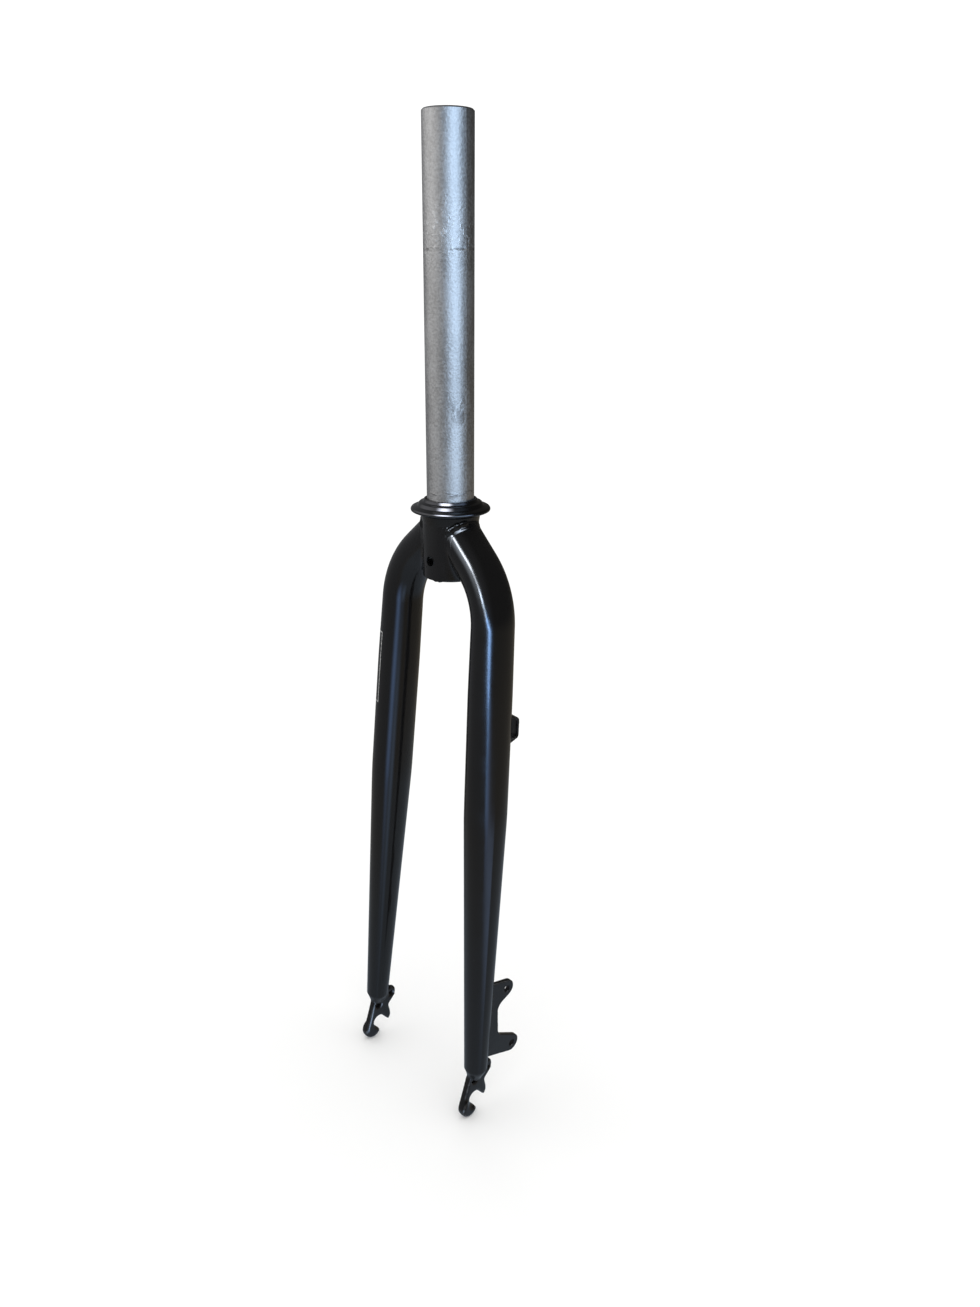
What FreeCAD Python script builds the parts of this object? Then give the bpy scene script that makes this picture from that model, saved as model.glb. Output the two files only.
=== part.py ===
import FreeCAD, Part
import math
import os
import Sketcher

# Rigid steel bicycle fork with curved crown legs welded to the steering tube.
# Millimetres. Z runs up the steering axis, the front of the fork faces -Y and +X is
# the left leg, which carries the brake mount. The origin lies on the steering axis at
# the foot of the bare steering tube, level with the upper lip of the crown race.

V = FreeCAD.Vector
NEAR = 0.02
os.makedirs("parts", exist_ok=True)
doc = FreeCAD.newDocument("Fork")

# Driving dimensions, each with a word for its name.
sizes = {
    # steering tube
    "steerer_od": 28.6,
    "steerer_bore": 25.4,
    "steerer_len": 207.0,
    "rim_bevel": 0.8,
    "seat_d": 30.0,
    "seat_lead": 1.2,
    "shoulder_drop": 9.5,
    "neck_d": 34.6,
    "neck_flare": 0.9,
    "flare_drop": 14.5,
    "neck_below": 0.5,
    "neck_edge": 0.7,
    "butt_bore": 22.4,
    "butt_top": 18.0,
    "butt_taper": 24.0,
    "crown_hole_d": 6.2,
    "crown_hole_drop": 36.7,
    # crown race
    "race_d": 48.6,
    "race_rim_top": 5.2,
    "race_rim_low": 7.8,
    "race_step_d": 40.8,
    "race_step_drop": 4.6,
    "race_ridge_d": 38.6,
    "race_ridge_drop": 2.5,
    "race_groove_d": 33.6,
    "race_groove_drop": 1.9,
    "race_lip_d": 32.2,
    "race_bevel": 0.8,
    # blades
    "cross_drop": 14.5,
    "bend_angle": 48.0,
    "bend_radius": 50.0,
    "splay": 2.2,
    "crown_tube_d": 26.6,
    "leg_d": 27.7,
    "leg_swell": 42.0,
    "taper_from_end": 189.0,
    "tip_d": 16.0,
    "blade_wall": 1.4,
    # wheel seat
    "hub_width": 100.0,
    "rake": 31.5,
    "axle_drop": 409.0,
    "tip_gap": 25.0,
    "tip_offset": 1.0,
    "plate": 5.0,
    "axle_slot": 9.5,
    "slot_angle": 52.0,
    "slot_run": 19.0,
    "hook_d": 14.4,
    "hook_forward": 5.2,
    "hook_below": 5.0,
    "lip": 1.6,
    "nut_seat_d": 15.0,
    "shoulder_forward": 4.2,
    "shoulder_up": 18.7,
    "tooth_reach": 9.3,
    "heel_w": 2.0,
    "heel_low": 0.8,
    "heel_high": 2.6,
    "notch_back": 9.8,
    "notch_up": 9.9,
    "ear_d": 10.4,
    "ear_back": 12.5,
    "ear_up": 19.5,
    "eyelet_d": 5.0,
    "vent_d": 7.0,
    "vent_up": 15.4,
    "web_gap": 1.2,
    "tang_fit": 0.1,
    "tang_start": 11.0,
    "tang_depth": 22.0,
    "tang_bevel": 2.0,
    # brake mount on the left leg
    "mount_spacing": 51.0,
    "mount_hole": 6.2,
    "mount_pad_d": 12.6,
    "mount_back": 1.9,
    "mount_drop": 358.8,
    "mount_tilt": 6.4,
    "mount_sheet": 3.2,
    "mount_root": 17.0,
    "mount_root_up": 14.7,
    "throat_back_up": 9.8,
    "throat_drop": 9.0,
    "throat_back_low": 11.9,
    "throat_rise": 17.5,
    "mount_heel": 28.0,
    "mount_heel_up": 8.0,
    "mount_corner": 7.0,
    # hose guide on the left leg
    "guide_drop": 138.0,
    "guide_turn": 78.0,
    "guide_len": 21.0,
    "guide_flat": 12.6,
    "guide_flat_in": 11.6,
    "guide_rise": 6.3,
    "guide_sheet": 1.5,
    "guide_foot": 3.0,
    "guide_sunk": 1.5,
    "guide_bend": 3.0,
    "guide_w": 8.0,
    # weld beads
    "crown_fillet": 3.5,
    "crown_bead": 0.9,
    "race_gap": 0.8,
    "mount_bead": 1.7,
    "mount_bead_up": 31.5,
    "mount_bead_low": 19.4,
    "cap_side": 0.6,
    "cap_run": 8.5,
    "cap_nose_d": 7.0,
}

# Dimensions that follow from the ones above.
follow = {
    "steerer_r": "steerer_od / 2",
    "bore_r": "steerer_bore / 2",
    "butt_r": "butt_bore / 2",
    "seat_r": "seat_d / 2",
    "neck_r": "neck_d / 2",
    "foot_r": "neck_r + neck_flare",
    "rim_inner_r": "steerer_r - rim_bevel",
    "rim_side": "steerer_len - rim_bevel",
    "seat_start": "seat_lead + seat_r - steerer_r",
    "neck_inner_r": "neck_r - neck_edge",
    "bore_low": "butt_top + butt_taper",
    "race_r": "race_d / 2",
    "race_step_r": "race_step_d / 2",
    "race_ridge_r": "race_ridge_d / 2",
    "race_groove_r": "race_groove_d / 2",
    "race_lip_r": "race_lip_d / 2",
    "tilt": "atan(rake / (axle_drop - cross_drop))",
    "tip_out": "hub_width / 2 + plate / 2 + tip_offset",
    "tip_down": "(axle_drop - cross_drop - tip_gap) / cos(tilt)",
    "knee_down": "(tip_out - tip_down * tan(splay)) / (tan(bend_angle) - tan(splay))",
    "knee_out": "knee_down * tan(bend_angle)",
    "knee_run": "bend_radius * tan((bend_angle - splay) / 2)",
    "leg_end": "(tip_down - knee_down) / cos(splay)",
    "swell_end": "knee_run + leg_swell",
    "taper_start": "leg_end - taper_from_end",
    "crown_tube_r": "crown_tube_d / 2",
    "leg_r": "leg_d / 2",
    "tip_r": "tip_d / 2",
    "crown_bore_r": "crown_tube_r - blade_wall",
    "bend_start": "knee_out / sin(bend_angle) - knee_run",
    "under_run": "neck_r / sin(bend_angle) + crown_tube_r / tan(bend_angle)",
    "blade_foot": "cross_drop + neck_r / tan(bend_angle) + crown_tube_r / sin(bend_angle)",
    "inner_bend_r": "bend_radius - crown_tube_r",
    "bend_mid_out": "bend_start * sin(bend_angle) - bend_radius * cos(bend_angle)",
    "bend_mid_down": "bend_start * cos(bend_angle) + bend_radius * sin(bend_angle)",
    "bend_rise": "sqrt(inner_bend_r ^ 2 - (neck_r - bend_mid_out) ^ 2)",
    "bend_foot": "cross_drop + bend_mid_down - bend_rise",
    "bend_sag": "under_run > bend_start ? bend_foot - blade_foot : 0",
    "neck_drop": "blade_foot + bend_sag + neck_below",
    "neck_side": "neck_drop - neck_edge",
    "leg_bore_r": "leg_r - blade_wall",
    "tip_bore_r": "tip_r - blade_wall",
    "slot_r": "axle_slot / 2",
    "hook_r": "hook_d / 2",
    "front_run": "sqrt((hook_forward - shoulder_forward) ^ 2 + (shoulder_up + hook_below) ^ 2)",
    "front_lean": "atan((hook_forward - shoulder_forward) / (shoulder_up + hook_below))",
    "front_turn": "acos(hook_r / front_run) - front_lean",
    "touch_forward": "hook_forward + hook_r * sin(front_turn)",
    "touch_up": "hook_r * cos(front_turn) - hook_below",
    "tooth_back": "slot_r * sin(slot_angle) + tooth_reach * cos(slot_angle)",
    "tooth_drop": "tooth_reach * sin(slot_angle) - slot_r * cos(slot_angle)",
    "heel_back": "tooth_back + heel_w",
    "ear_r": "ear_d / 2",
    "ear_run": "sqrt((ear_back - notch_back) ^ 2 + (ear_up - notch_up) ^ 2)",
    "ear_lean": "atan((ear_back - notch_back) / (ear_up - notch_up))",
    "ear_turn": "acos(ear_r / ear_run) - ear_lean",
    "ear_touch_back": "ear_back + ear_r * sin(ear_turn)",
    "ear_touch_up": "ear_up - ear_r * cos(ear_turn)",
    "web_top": "tip_gap - web_gap",
    "tang_half": "sqrt(tip_bore_r ^ 2 - (plate / 2 + tip_offset) ^ 2) - tang_fit",
    "tang_top": "tip_gap + tang_depth",
    "tang_side": "tang_top - tang_bevel",
    "tang_tip": "tang_half - tang_bevel",
    "mount_half": "mount_spacing / 2",
    "pad_r": "mount_pad_d / 2",
    "mount_inner_x": "hub_width / 2 + plate - mount_sheet",
    "mount_outer_x": "hub_width / 2 + plate",
    "root_top": "mount_half + mount_root_up",
    "top_run": "sqrt(mount_root ^ 2 + mount_root_up ^ 2)",
    "top_turn": "atan(mount_root_up / mount_root) - asin(pad_r / top_run)",
    "top_back": "pad_r * sin(top_turn)",
    "top_up": "mount_half + pad_r * cos(top_turn)",
    "throat_top": "mount_half - throat_drop",
    "upper_run": "sqrt(throat_back_up ^ 2 + throat_drop ^ 2)",
    "upper_turn": "acos(pad_r / upper_run) - atan(throat_back_up / throat_drop)",
    "upper_back": "pad_r * sin(upper_turn)",
    "upper_low": "mount_half - pad_r * cos(upper_turn)",
    "throat_low": "mount_half - throat_rise",
    "lower_run": "sqrt(throat_back_low ^ 2 + throat_rise ^ 2)",
    "lower_turn": "acos(pad_r / lower_run) - atan(throat_back_low / throat_rise)",
    "lower_back": "pad_r * sin(lower_turn)",
    "lower_up": "mount_half - pad_r * cos(lower_turn)",
    "heel_root_low": "mount_half - mount_heel_up",
    "toe_run": "sqrt(mount_heel ^ 2 + mount_heel_up ^ 2)",
    "toe_turn": "asin(pad_r / toe_run) + atan(mount_heel_up / mount_heel)",
    "toe_forward": "pad_r * sin(toe_turn)",
    "toe_low": "mount_half + pad_r * cos(toe_turn)",
    "guide_down": "(guide_drop - cross_drop - knee_down) / cos(splay)",
    "guide_share": "max(0; (guide_down - taper_start) / taper_from_end)",
    "guide_skin": "leg_r - (leg_r - tip_r) * guide_share",
    "guide_root": "guide_skin - guide_sunk",
    "guide_top": "guide_skin + guide_rise",
    "guide_under": "guide_top - guide_sheet",
    "guide_end": "guide_len / 2",
    "guide_toe": "guide_end - guide_foot",
    "guide_edge": "guide_flat / 2",
    "guide_edge_in": "guide_flat_in / 2",
    "mount_down": "(mount_drop - cross_drop - knee_down) / cos(splay)",
    "cap_end": "leg_end + cap_side",
    "cap_nose": "cap_end + cap_run",
    "cap_nose_r": "cap_nose_d / 2",
}

dims = doc.addObject("Spreadsheet::Sheet", "Dims")
row = 0
for name, value in sizes.items():
    row += 1
    dims.set("A%d" % row, name)
    dims.set("B%d" % row, str(value))
    dims.setAlias("B%d" % row, name)
for name, rule in follow.items():
    row += 1
    dims.set("A%d" % row, name)
    dims.set("B%d" % row, "=" + rule)
    dims.setAlias("B%d" % row, name)
doc.recompute()


def size(name):
    """Number in the sheet under a name; a leading minus turns its sign."""
    if name.startswith("-"):
        return -size(name[1:])
    cell = dims.get(name)
    return float(getattr(cell, "Value", cell))


def cell(name):
    """Expression that reads the sheet under a name with an optional minus."""
    if name.startswith("-"):
        return "-Dims." + name[1:]
    return "Dims." + name


def origin_plane(body, role):
    return [o for o in body.Origin.OriginFeatures if o.Role == role][0]


def new_body(name, place=None):
    body = doc.addObject("PartDesign::Body", name)
    body.Label = name
    if place is not None:
        body.Placement = place
    return body


def new_sketch(body, role, name, offset=None):
    sketch = body.newObject("Sketcher::SketchObject", name)
    sketch.AttachmentSupport = [(origin_plane(body, role), "")]
    sketch.MapMode = "FlatFace"
    if offset is not None:
        sketch.AttachmentOffset = offset
    return sketch


def drive(sketch, kind, *args):
    """Add a constraint whose value is read from the sheet; the name comes last."""
    name = args[-1]
    index = sketch.addConstraint(Sketcher.Constraint(kind, *args[:-1], size(name)))
    label = "%s_%d" % (kind, index)
    sketch.renameConstraint(index, label)
    sketch.setExpression("Constraints." + label, cell(name))


def hold_point(sketch, geo, end, x, y):
    """Hold a point at two named distances from the sketch origin; 0 lies on an axis."""
    if x == "0":
        sketch.addConstraint(Sketcher.Constraint("PointOnObject", geo, end, -2))
    else:
        drive(sketch, "DistanceX", -1, 1, geo, end, x)
    if y == "0":
        sketch.addConstraint(Sketcher.Constraint("PointOnObject", geo, end, -1))
    else:
        drive(sketch, "DistanceY", -1, 1, geo, end, y)


def spot(x, y):
    at_x = 0.0 if x == "0" else size(x)
    at_y = 0.0 if y == "0" else size(y)
    return V(at_x, at_y, 0)


def outline(sketch, corners):
    """Closed run of straight edges through corners named in the sheet."""
    count = len(corners)
    for k in range(count):
        start = spot(*corners[k])
        stop = spot(*corners[(k + 1) % count])
        sketch.addGeometry(Part.LineSegment(start, stop), False)
    for k in range(count):
        sketch.addConstraint(Sketcher.Constraint("Coincident", k, 2, (k + 1) % count, 1))
    for k in range(count):
        hold_point(sketch, k, 1, *corners[k])


def ring(sketch, x, y, diameter):
    """Circle at a named place with a named diameter."""
    middle = spot(x, y)
    geo = sketch.addGeometry(Part.Circle(middle, V(0, 0, 1), size(diameter) / 2), False)
    if x == "0" and y == "0":
        sketch.addConstraint(Sketcher.Constraint("Coincident", geo, 3, -1, 1))
    else:
        hold_point(sketch, geo, 3, x, y)
    drive(sketch, "Diameter", geo, diameter)
    return geo


def turned(body, sketch, name, cut=False):
    kind = "PartDesign::Groove" if cut else "PartDesign::Revolution"
    feature = body.newObject(kind, name)
    feature.Profile = sketch
    feature.ReferenceAxis = (sketch, ["V_Axis"])
    feature.Angle = 360.0
    return feature


def pad(body, sketch, name, length):
    feature = body.newObject("PartDesign::Pad", name)
    feature.Profile = sketch
    feature.setExpression("Length", length)
    return feature


def pocket(body, sketch, name, through=True, length=None):
    feature = body.newObject("PartDesign::Pocket", name)
    feature.Profile = sketch
    feature.Reversed = False
    if through:
        feature.Type = "ThroughAll"
        feature.Midplane = True
    else:
        feature.setExpression("Length", length)
    return feature


def edges_where(shape, test):
    return ["Edge%d" % (i + 1) for i, e in enumerate(shape.Edges) if test(e)]


def cut(name, base, tool):
    feature = doc.addObject("Part::Cut", name)
    feature.Label = name
    feature.Base = base
    feature.Tool = tool
    return feature


def fuse(name, shapes):
    feature = doc.addObject("Part::MultiFuse", name)
    feature.Label = name
    feature.Shapes = shapes
    return feature


def mirrored(name, source):
    feature = doc.addObject("Part::Mirroring", name)
    feature.Label = name
    feature.Source = source
    feature.Base = V(0, 0, 0)
    feature.Normal = V(1, 0, 0)
    return feature


# Steering tube: plain tube above, stepped race seat, thick neck below and a butted bore.
steerer = new_body("steerer_tube")
profile = new_sketch(steerer, "XZ_Plane", "steerer_profile")
outline(profile, [
    ("bore_r", "steerer_len"),
    ("rim_inner_r", "steerer_len"),
    ("steerer_r", "rim_side"),
    ("steerer_r", "-seat_lead"),
    ("seat_r", "-seat_start"),
    ("seat_r", "-shoulder_drop"),
    ("foot_r", "-shoulder_drop"),
    ("neck_r", "-flare_drop"),
    ("neck_r", "-neck_side"),
    ("neck_inner_r", "-neck_drop"),
    ("butt_r", "-neck_drop"),
    ("butt_r", "butt_top"),
    ("bore_r", "bore_low"),
])
turned(steerer, profile, "steerer_turning")
bolt_sketch = new_sketch(steerer, "XZ_Plane", "crown_hole_circle")
ring(bolt_sketch, "0", "-crown_hole_drop", "crown_hole_d")
pocket(steerer, bolt_sketch, "crown_hole")
doc.recompute()

# Crown race pressed on the seat: lip, ridge and bevelled rim.
race = new_body("crown_race")
profile = new_sketch(race, "XZ_Plane", "race_profile")
outline(profile, [
    ("seat_r", "-shoulder_drop"),
    ("foot_r", "-shoulder_drop"),
    ("foot_r", "-race_rim_low"),
    ("race_r", "-race_rim_low"),
    ("race_r", "-race_rim_top"),
    ("race_step_r", "-race_step_drop"),
    ("race_ridge_r", "-race_ridge_drop"),
    ("race_groove_r", "-race_groove_drop"),
    ("race_lip_r", "0"),
    ("seat_r", "0"),
])
race_turning = turned(race, profile, "race_turning")
doc.recompute()


def is_rim(edge):
    return abs(edge.BoundBox.XLength / 2 - size("race_r")) < NEAR and edge.Closed


def is_ridge(edge):
    span = edge.BoundBox.XLength / 2
    return abs(span - size("race_ridge_r")) < NEAR or abs(span - size("race_step_r")) < NEAR


rim = race.newObject("PartDesign::Chamfer", "race_rim_bevel")
rim.Base = (race_turning, edges_where(race_turning.Shape, is_rim))
rim.setExpression("Size", "Dims.race_bevel")
doc.recompute()
ridge = race.newObject("PartDesign::Chamfer", "race_ridge_bevel")
ridge.Base = (rim, edges_where(rim.Shape, is_ridge))
ridge.setExpression("Size", "Dims.race_bevel / 2")
doc.recompute()

# Blades. Each lies in a plane that leans forward from the steering axis to the axle.
# The crown end is straight, then one bend, then the splayed leg that narrows to the tip.
lean = FreeCAD.Placement(
    V(0, 0, -size("cross_drop")), FreeCAD.Rotation(V(1, 0, 0), -size("tilt"))
)
leg_frame = FreeCAD.Placement(
    V(size("knee_out"), -size("knee_down"), 0), FreeCAD.Rotation(V(0, 0, 1), size("splay"))
)


def lean_body(name):
    body = new_body(name, lean)
    body.setExpression("Placement.Base.z", "-Dims.cross_drop")
    body.setExpression("Placement.Rotation.Angle", "-Dims.tilt")
    return body


def leg_sketch(body, name):
    """Sketch whose upright axis is the axis of the leg, with the knee at its origin."""
    sketch = new_sketch(body, "XZ_Plane", name, leg_frame)
    sketch.setExpression("AttachmentOffset.Base.x", "Dims.knee_out")
    sketch.setExpression("AttachmentOffset.Base.y", "-Dims.knee_down")
    sketch.setExpression("AttachmentOffset.Rotation.Angle", "Dims.splay * 1 deg")
    return sketch


def leg_point(down, out=0.0, turn=0.0):
    """Point of the left leg at a distance below the knee and off its axis."""
    tip = math.radians(size("splay"))
    angle = math.radians(turn)
    across = out * math.cos(angle)
    flat = V(
        size("knee_out") + down * math.sin(tip) + across * math.cos(tip),
        out * math.sin(angle),
        -size("knee_down") - down * math.cos(tip) + across * math.sin(tip),
    )
    return lean.multVec(flat)


def leg_radius(down):
    if down < size("taper_start"):
        return size("leg_r")
    share = (down - size("taper_start")) / size("taper_from_end")
    return size("leg_r") + (size("tip_r") - size("leg_r")) * share


def blade_form(name, crown_r, leg_r, tip_r):
    body = lean_body(name)
    path = new_sketch(body, "XZ_Plane", name + "_path")
    top = math.radians(size("bend_angle"))
    low = math.radians(size("splay"))
    knee = V(size("knee_out"), -size("knee_down"), 0)
    upper = knee + V(-math.sin(top), math.cos(top), 0) * size("knee_run")
    lower = knee + V(math.sin(low), -math.cos(low), 0) * size("knee_run")
    middle = upper + V(-math.cos(top), -math.sin(top), 0) * size("bend_radius")
    tip = V(size("tip_out"), -size("tip_down"), 0)
    path.addGeometry(Part.LineSegment(upper, V(0, 0, 0)), False)
    circle = Part.Circle(middle, V(0, 0, 1), size("bend_radius"))
    path.addGeometry(Part.ArcOfCircle(circle, low, top), False)
    path.addGeometry(Part.LineSegment(tip, lower), True)
    path.addConstraint(Sketcher.Constraint("Coincident", 0, 2, -1, 1))
    path.addConstraint(Sketcher.Constraint("Tangent", 0, 1, 1, 2))
    path.addConstraint(Sketcher.Constraint("Tangent", 1, 1, 2, 2))
    drive(path, "DistanceX", -1, 1, 2, 1, "tip_out")
    drive(path, "DistanceY", -1, 1, 2, 1, "-tip_down")
    drive(path, "Radius", 1, "bend_radius")
    slope = Sketcher.Constraint("Angle", 0, math.radians(90 + size("bend_angle")))
    path.renameConstraint(path.addConstraint(slope), "crown_slope")
    path.setExpression("Constraints.crown_slope", "(90 + Dims.bend_angle) * 1 deg")
    slope = Sketcher.Constraint("Angle", 2, math.radians(90 + size("splay")))
    path.renameConstraint(path.addConstraint(slope), "leg_slope")
    path.setExpression("Constraints.leg_slope", "(90 + Dims.splay) * 1 deg")
    square = FreeCAD.Placement(V(0, 0, 0), FreeCAD.Rotation(V(0, 1, 0), -size("bend_angle")))
    mouth = new_sketch(body, "XY_Plane", name + "_mouth", square)
    mouth.setExpression("AttachmentOffset.Rotation.Angle", "-Dims.bend_angle * 1 deg")
    geo = mouth.addGeometry(Part.Circle(V(0, 0, 0), V(0, 0, 1), size(crown_r)), False)
    mouth.addConstraint(Sketcher.Constraint("Coincident", geo, 3, -1, 1))
    drive(mouth, "Radius", geo, crown_r)
    doc.recompute()
    bend = body.newObject("PartDesign::AdditivePipe", name + "_bend")
    bend.Profile = mouth
    bend.Spine = (path, ["Edge1", "Edge2"])
    doc.recompute()
    leg = leg_sketch(body, name + "_leg")
    outline(leg, [
        ("0", "-knee_run"),
        (crown_r, "-knee_run"),
        (leg_r, "-swell_end"),
        (leg_r, "-taper_start"),
        (tip_r, "-leg_end"),
        ("0", "-leg_end"),
    ])
    turned(body, leg, name + "_taper")
    doc.recompute()
    return body


blade_outer = blade_form("blade_outer", "crown_tube_r", "leg_r", "tip_r")
blade_bore = blade_form("blade_bore", "crown_bore_r", "leg_bore_r", "tip_bore_r")
blade_tube = cut("blade_tube", blade_outer, blade_bore)
neck_core = doc.addObject("Part::Cylinder", "neck_core")
neck_core.setExpression("Radius", "Dims.neck_r")
neck_core.setExpression("Height", "2 * Dims.neck_drop + 2 * Dims.shoulder_drop")
neck_core.setExpression("Placement.Base.z", "-2 * Dims.neck_drop")
neck_core.Placement.Rotation = FreeCAD.Rotation(V(0, 0, 1), 180)
neck_form = fuse("neck_form", [steerer, neck_core])
left_blade = cut("left_blade", blade_tube, neck_form)
right_blade = mirrored("right_blade", left_blade)
doc.recompute()

# Dropouts: plates of one thickness with a hooked axle slot, an eyelet ear, a vent hole
# above the slot, a raised lip round the hook and a tang that sits inside the blade.
dropout = new_body("dropout_blank", FreeCAD.Placement(
    V(size("hub_width") / 2, -size("rake"), -size("axle_drop")), FreeCAD.Rotation()
))
dropout.setExpression("Placement.Base.x", "Dims.hub_width / 2")
dropout.setExpression("Placement.Base.y", "-Dims.rake")
dropout.setExpression("Placement.Base.z", "-Dims.axle_drop")
web = new_sketch(dropout, "YZ_Plane", "dropout_web")
outline(web, [
    ("-shoulder_forward", "shoulder_up"),
    ("-touch_forward", "touch_up"),
    ("-hook_forward", "-hook_below"),
    ("0", "0"),
    ("tooth_back", "-tooth_drop"),
    ("heel_back", "-heel_low"),
    ("heel_back", "heel_high"),
    ("notch_back", "notch_up"),
    ("ear_touch_back", "ear_touch_up"),
    ("ear_back", "ear_up"),
    ("ear_back", "web_top"),
    ("-shoulder_forward", "web_top"),
])
pad(dropout, web, "dropout_plate", "Dims.plate")
ear = new_sketch(dropout, "YZ_Plane", "dropout_ear")
ring(ear, "ear_back", "ear_up", "ear_d")
pad(dropout, ear, "dropout_ear_pad", "Dims.plate")
hook = new_sketch(dropout, "YZ_Plane", "dropout_hook")
ring(hook, "-hook_forward", "-hook_below", "hook_d")
pad(dropout, hook, "dropout_hook_pad", "Dims.plate + Dims.lip")
tang_lean = FreeCAD.Placement(V(0, 0, 0), FreeCAD.Rotation(V(0, 0, 1), -size("tilt")))
tang = new_sketch(dropout, "YZ_Plane", "dropout_tang", tang_lean)
tang.setExpression("AttachmentOffset.Rotation.Angle", "-Dims.tilt")
outline(tang, [
    ("-tang_half", "tang_start"),
    ("tang_half", "tang_start"),
    ("tang_half", "tang_side"),
    ("tang_tip", "tang_top"),
    ("-tang_tip", "tang_top"),
    ("-tang_half", "tang_side"),
])
pad(dropout, tang, "dropout_tang_pad", "Dims.plate")
doc.recompute()
lift = FreeCAD.Placement(V(0, 0, size("plate") + size("lip")), FreeCAD.Rotation())
seat = new_sketch(dropout, "YZ_Plane", "nut_seat", lift)
seat.setExpression("AttachmentOffset.Base.z", "Dims.plate + Dims.lip")
ring(seat, "0", "0", "nut_seat_d")
pocket(dropout, seat, "nut_seat_pocket", False, "Dims.lip")
slot = new_sketch(dropout, "YZ_Plane", "axle_slot_outline")
slot_turn = FreeCAD.Rotation(V(0, 0, 1), -size("slot_angle"))
near_top = slot_turn.multVec(V(0, size("slot_r"), 0))
near_low = slot_turn.multVec(V(0, -size("slot_r"), 0))
reach = slot_turn.multVec(V(size("slot_run"), 0, 0))
slot.addGeometry(Part.LineSegment(near_top, near_top + reach), False)
slot.addGeometry(Part.LineSegment(near_top + reach, near_low + reach), False)
slot.addGeometry(Part.LineSegment(near_low + reach, near_low), False)
bow = Part.Circle(V(0, 0, 0), V(0, 0, 1), size("slot_r"))
start = math.atan2(near_top.y, near_top.x)
slot.addGeometry(Part.ArcOfCircle(bow, start, start + math.pi), False)
for k in range(2):
    slot.addConstraint(Sketcher.Constraint("Coincident", k, 2, k + 1, 1))
slot.addConstraint(Sketcher.Constraint("Coincident", 3, 3, -1, 1))
slot.addConstraint(Sketcher.Constraint("Tangent", 0, 1, 3, 1))
slot.addConstraint(Sketcher.Constraint("Tangent", 2, 2, 3, 2))
slot.addConstraint(Sketcher.Constraint("Perpendicular", 0, 1))
drive(slot, "Radius", 3, "slot_r")
drive(slot, "Distance", 0, "slot_run")
slot_slope = Sketcher.Constraint("Angle", 0, -math.radians(size("slot_angle")))
slot.renameConstraint(slot.addConstraint(slot_slope), "slot_slope")
slot.setExpression("Constraints.slot_slope", "-Dims.slot_angle * 1 deg")
pocket(dropout, slot, "axle_slot_pocket")
holes = new_sketch(dropout, "YZ_Plane", "dropout_holes")
ring(holes, "ear_back", "ear_up", "eyelet_d")
ring(holes, "0", "vent_up", "vent_d")
pocket(dropout, holes, "dropout_hole_pocket")
doc.recompute()
left_dropout = cut("left_dropout", dropout, blade_tube)
right_dropout = mirrored("right_dropout", left_dropout)
doc.recompute()

# Brake mount: a C-shaped plate with two bolt pads, cut to the back of the left leg.
mount_place = FreeCAD.Placement(
    V(size("mount_inner_x"), size("mount_back"), -size("mount_drop")),
    FreeCAD.Rotation(V(1, 0, 0), size("mount_tilt")),
)
mount_body = new_body("mount_plate", mount_place)
mount_body.setExpression("Placement.Base.x", "Dims.mount_inner_x")
mount_body.setExpression("Placement.Base.y", "Dims.mount_back")
mount_body.setExpression("Placement.Base.z", "-Dims.mount_drop")
mount_body.setExpression("Placement.Rotation.Angle", "Dims.mount_tilt * 1 deg")
mount_web = new_sketch(mount_body, "YZ_Plane", "mount_web")
outline(mount_web, [
    ("-mount_root", "root_top"),
    ("top_back", "top_up"),
    ("0", "mount_half"),
    ("upper_back", "upper_low"),
    ("-throat_back_up", "throat_top"),
    ("-throat_back_low", "-throat_low"),
    ("lower_back", "-lower_up"),
    ("0", "-mount_half"),
    ("-toe_forward", "-toe_low"),
    ("-mount_heel", "-heel_root_low"),
])
pad(mount_body, mount_web, "mount_web_pad", "Dims.mount_sheet")
mount_pads = new_sketch(mount_body, "YZ_Plane", "mount_pads")
ring(mount_pads, "0", "mount_half", "mount_pad_d")
ring(mount_pads, "0", "-mount_half", "mount_pad_d")
pads_feature = pad(mount_body, mount_pads, "mount_round_pads", "Dims.mount_sheet")
doc.recompute()


def in_c_corner(edge):
    """Edges through the plate at the two inner corners of the C."""
    box = edge.BoundBox
    if abs(box.XLength - size("mount_sheet")) > NEAR or box.YLength > NEAR:
        return False
    return any(abs(box.Center.y + size(n)) < NEAR for n in ("throat_back_up", "throat_back_low"))


corner = mount_body.newObject("PartDesign::Fillet", "mount_corner_rounding")
corner.Base = (pads_feature, edges_where(pads_feature.Shape, in_c_corner))
corner.setExpression("Radius", "Dims.mount_corner")
doc.recompute()
mount_holes = new_sketch(mount_body, "YZ_Plane", "mount_holes")
ring(mount_holes, "0", "mount_half", "mount_hole")
ring(mount_holes, "0", "-mount_half", "mount_hole")
pocket(mount_body, mount_holes, "mount_hole_pocket")
disc_mount = cut("disc_mount", mount_body, blade_outer)
doc.recompute()

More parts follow.
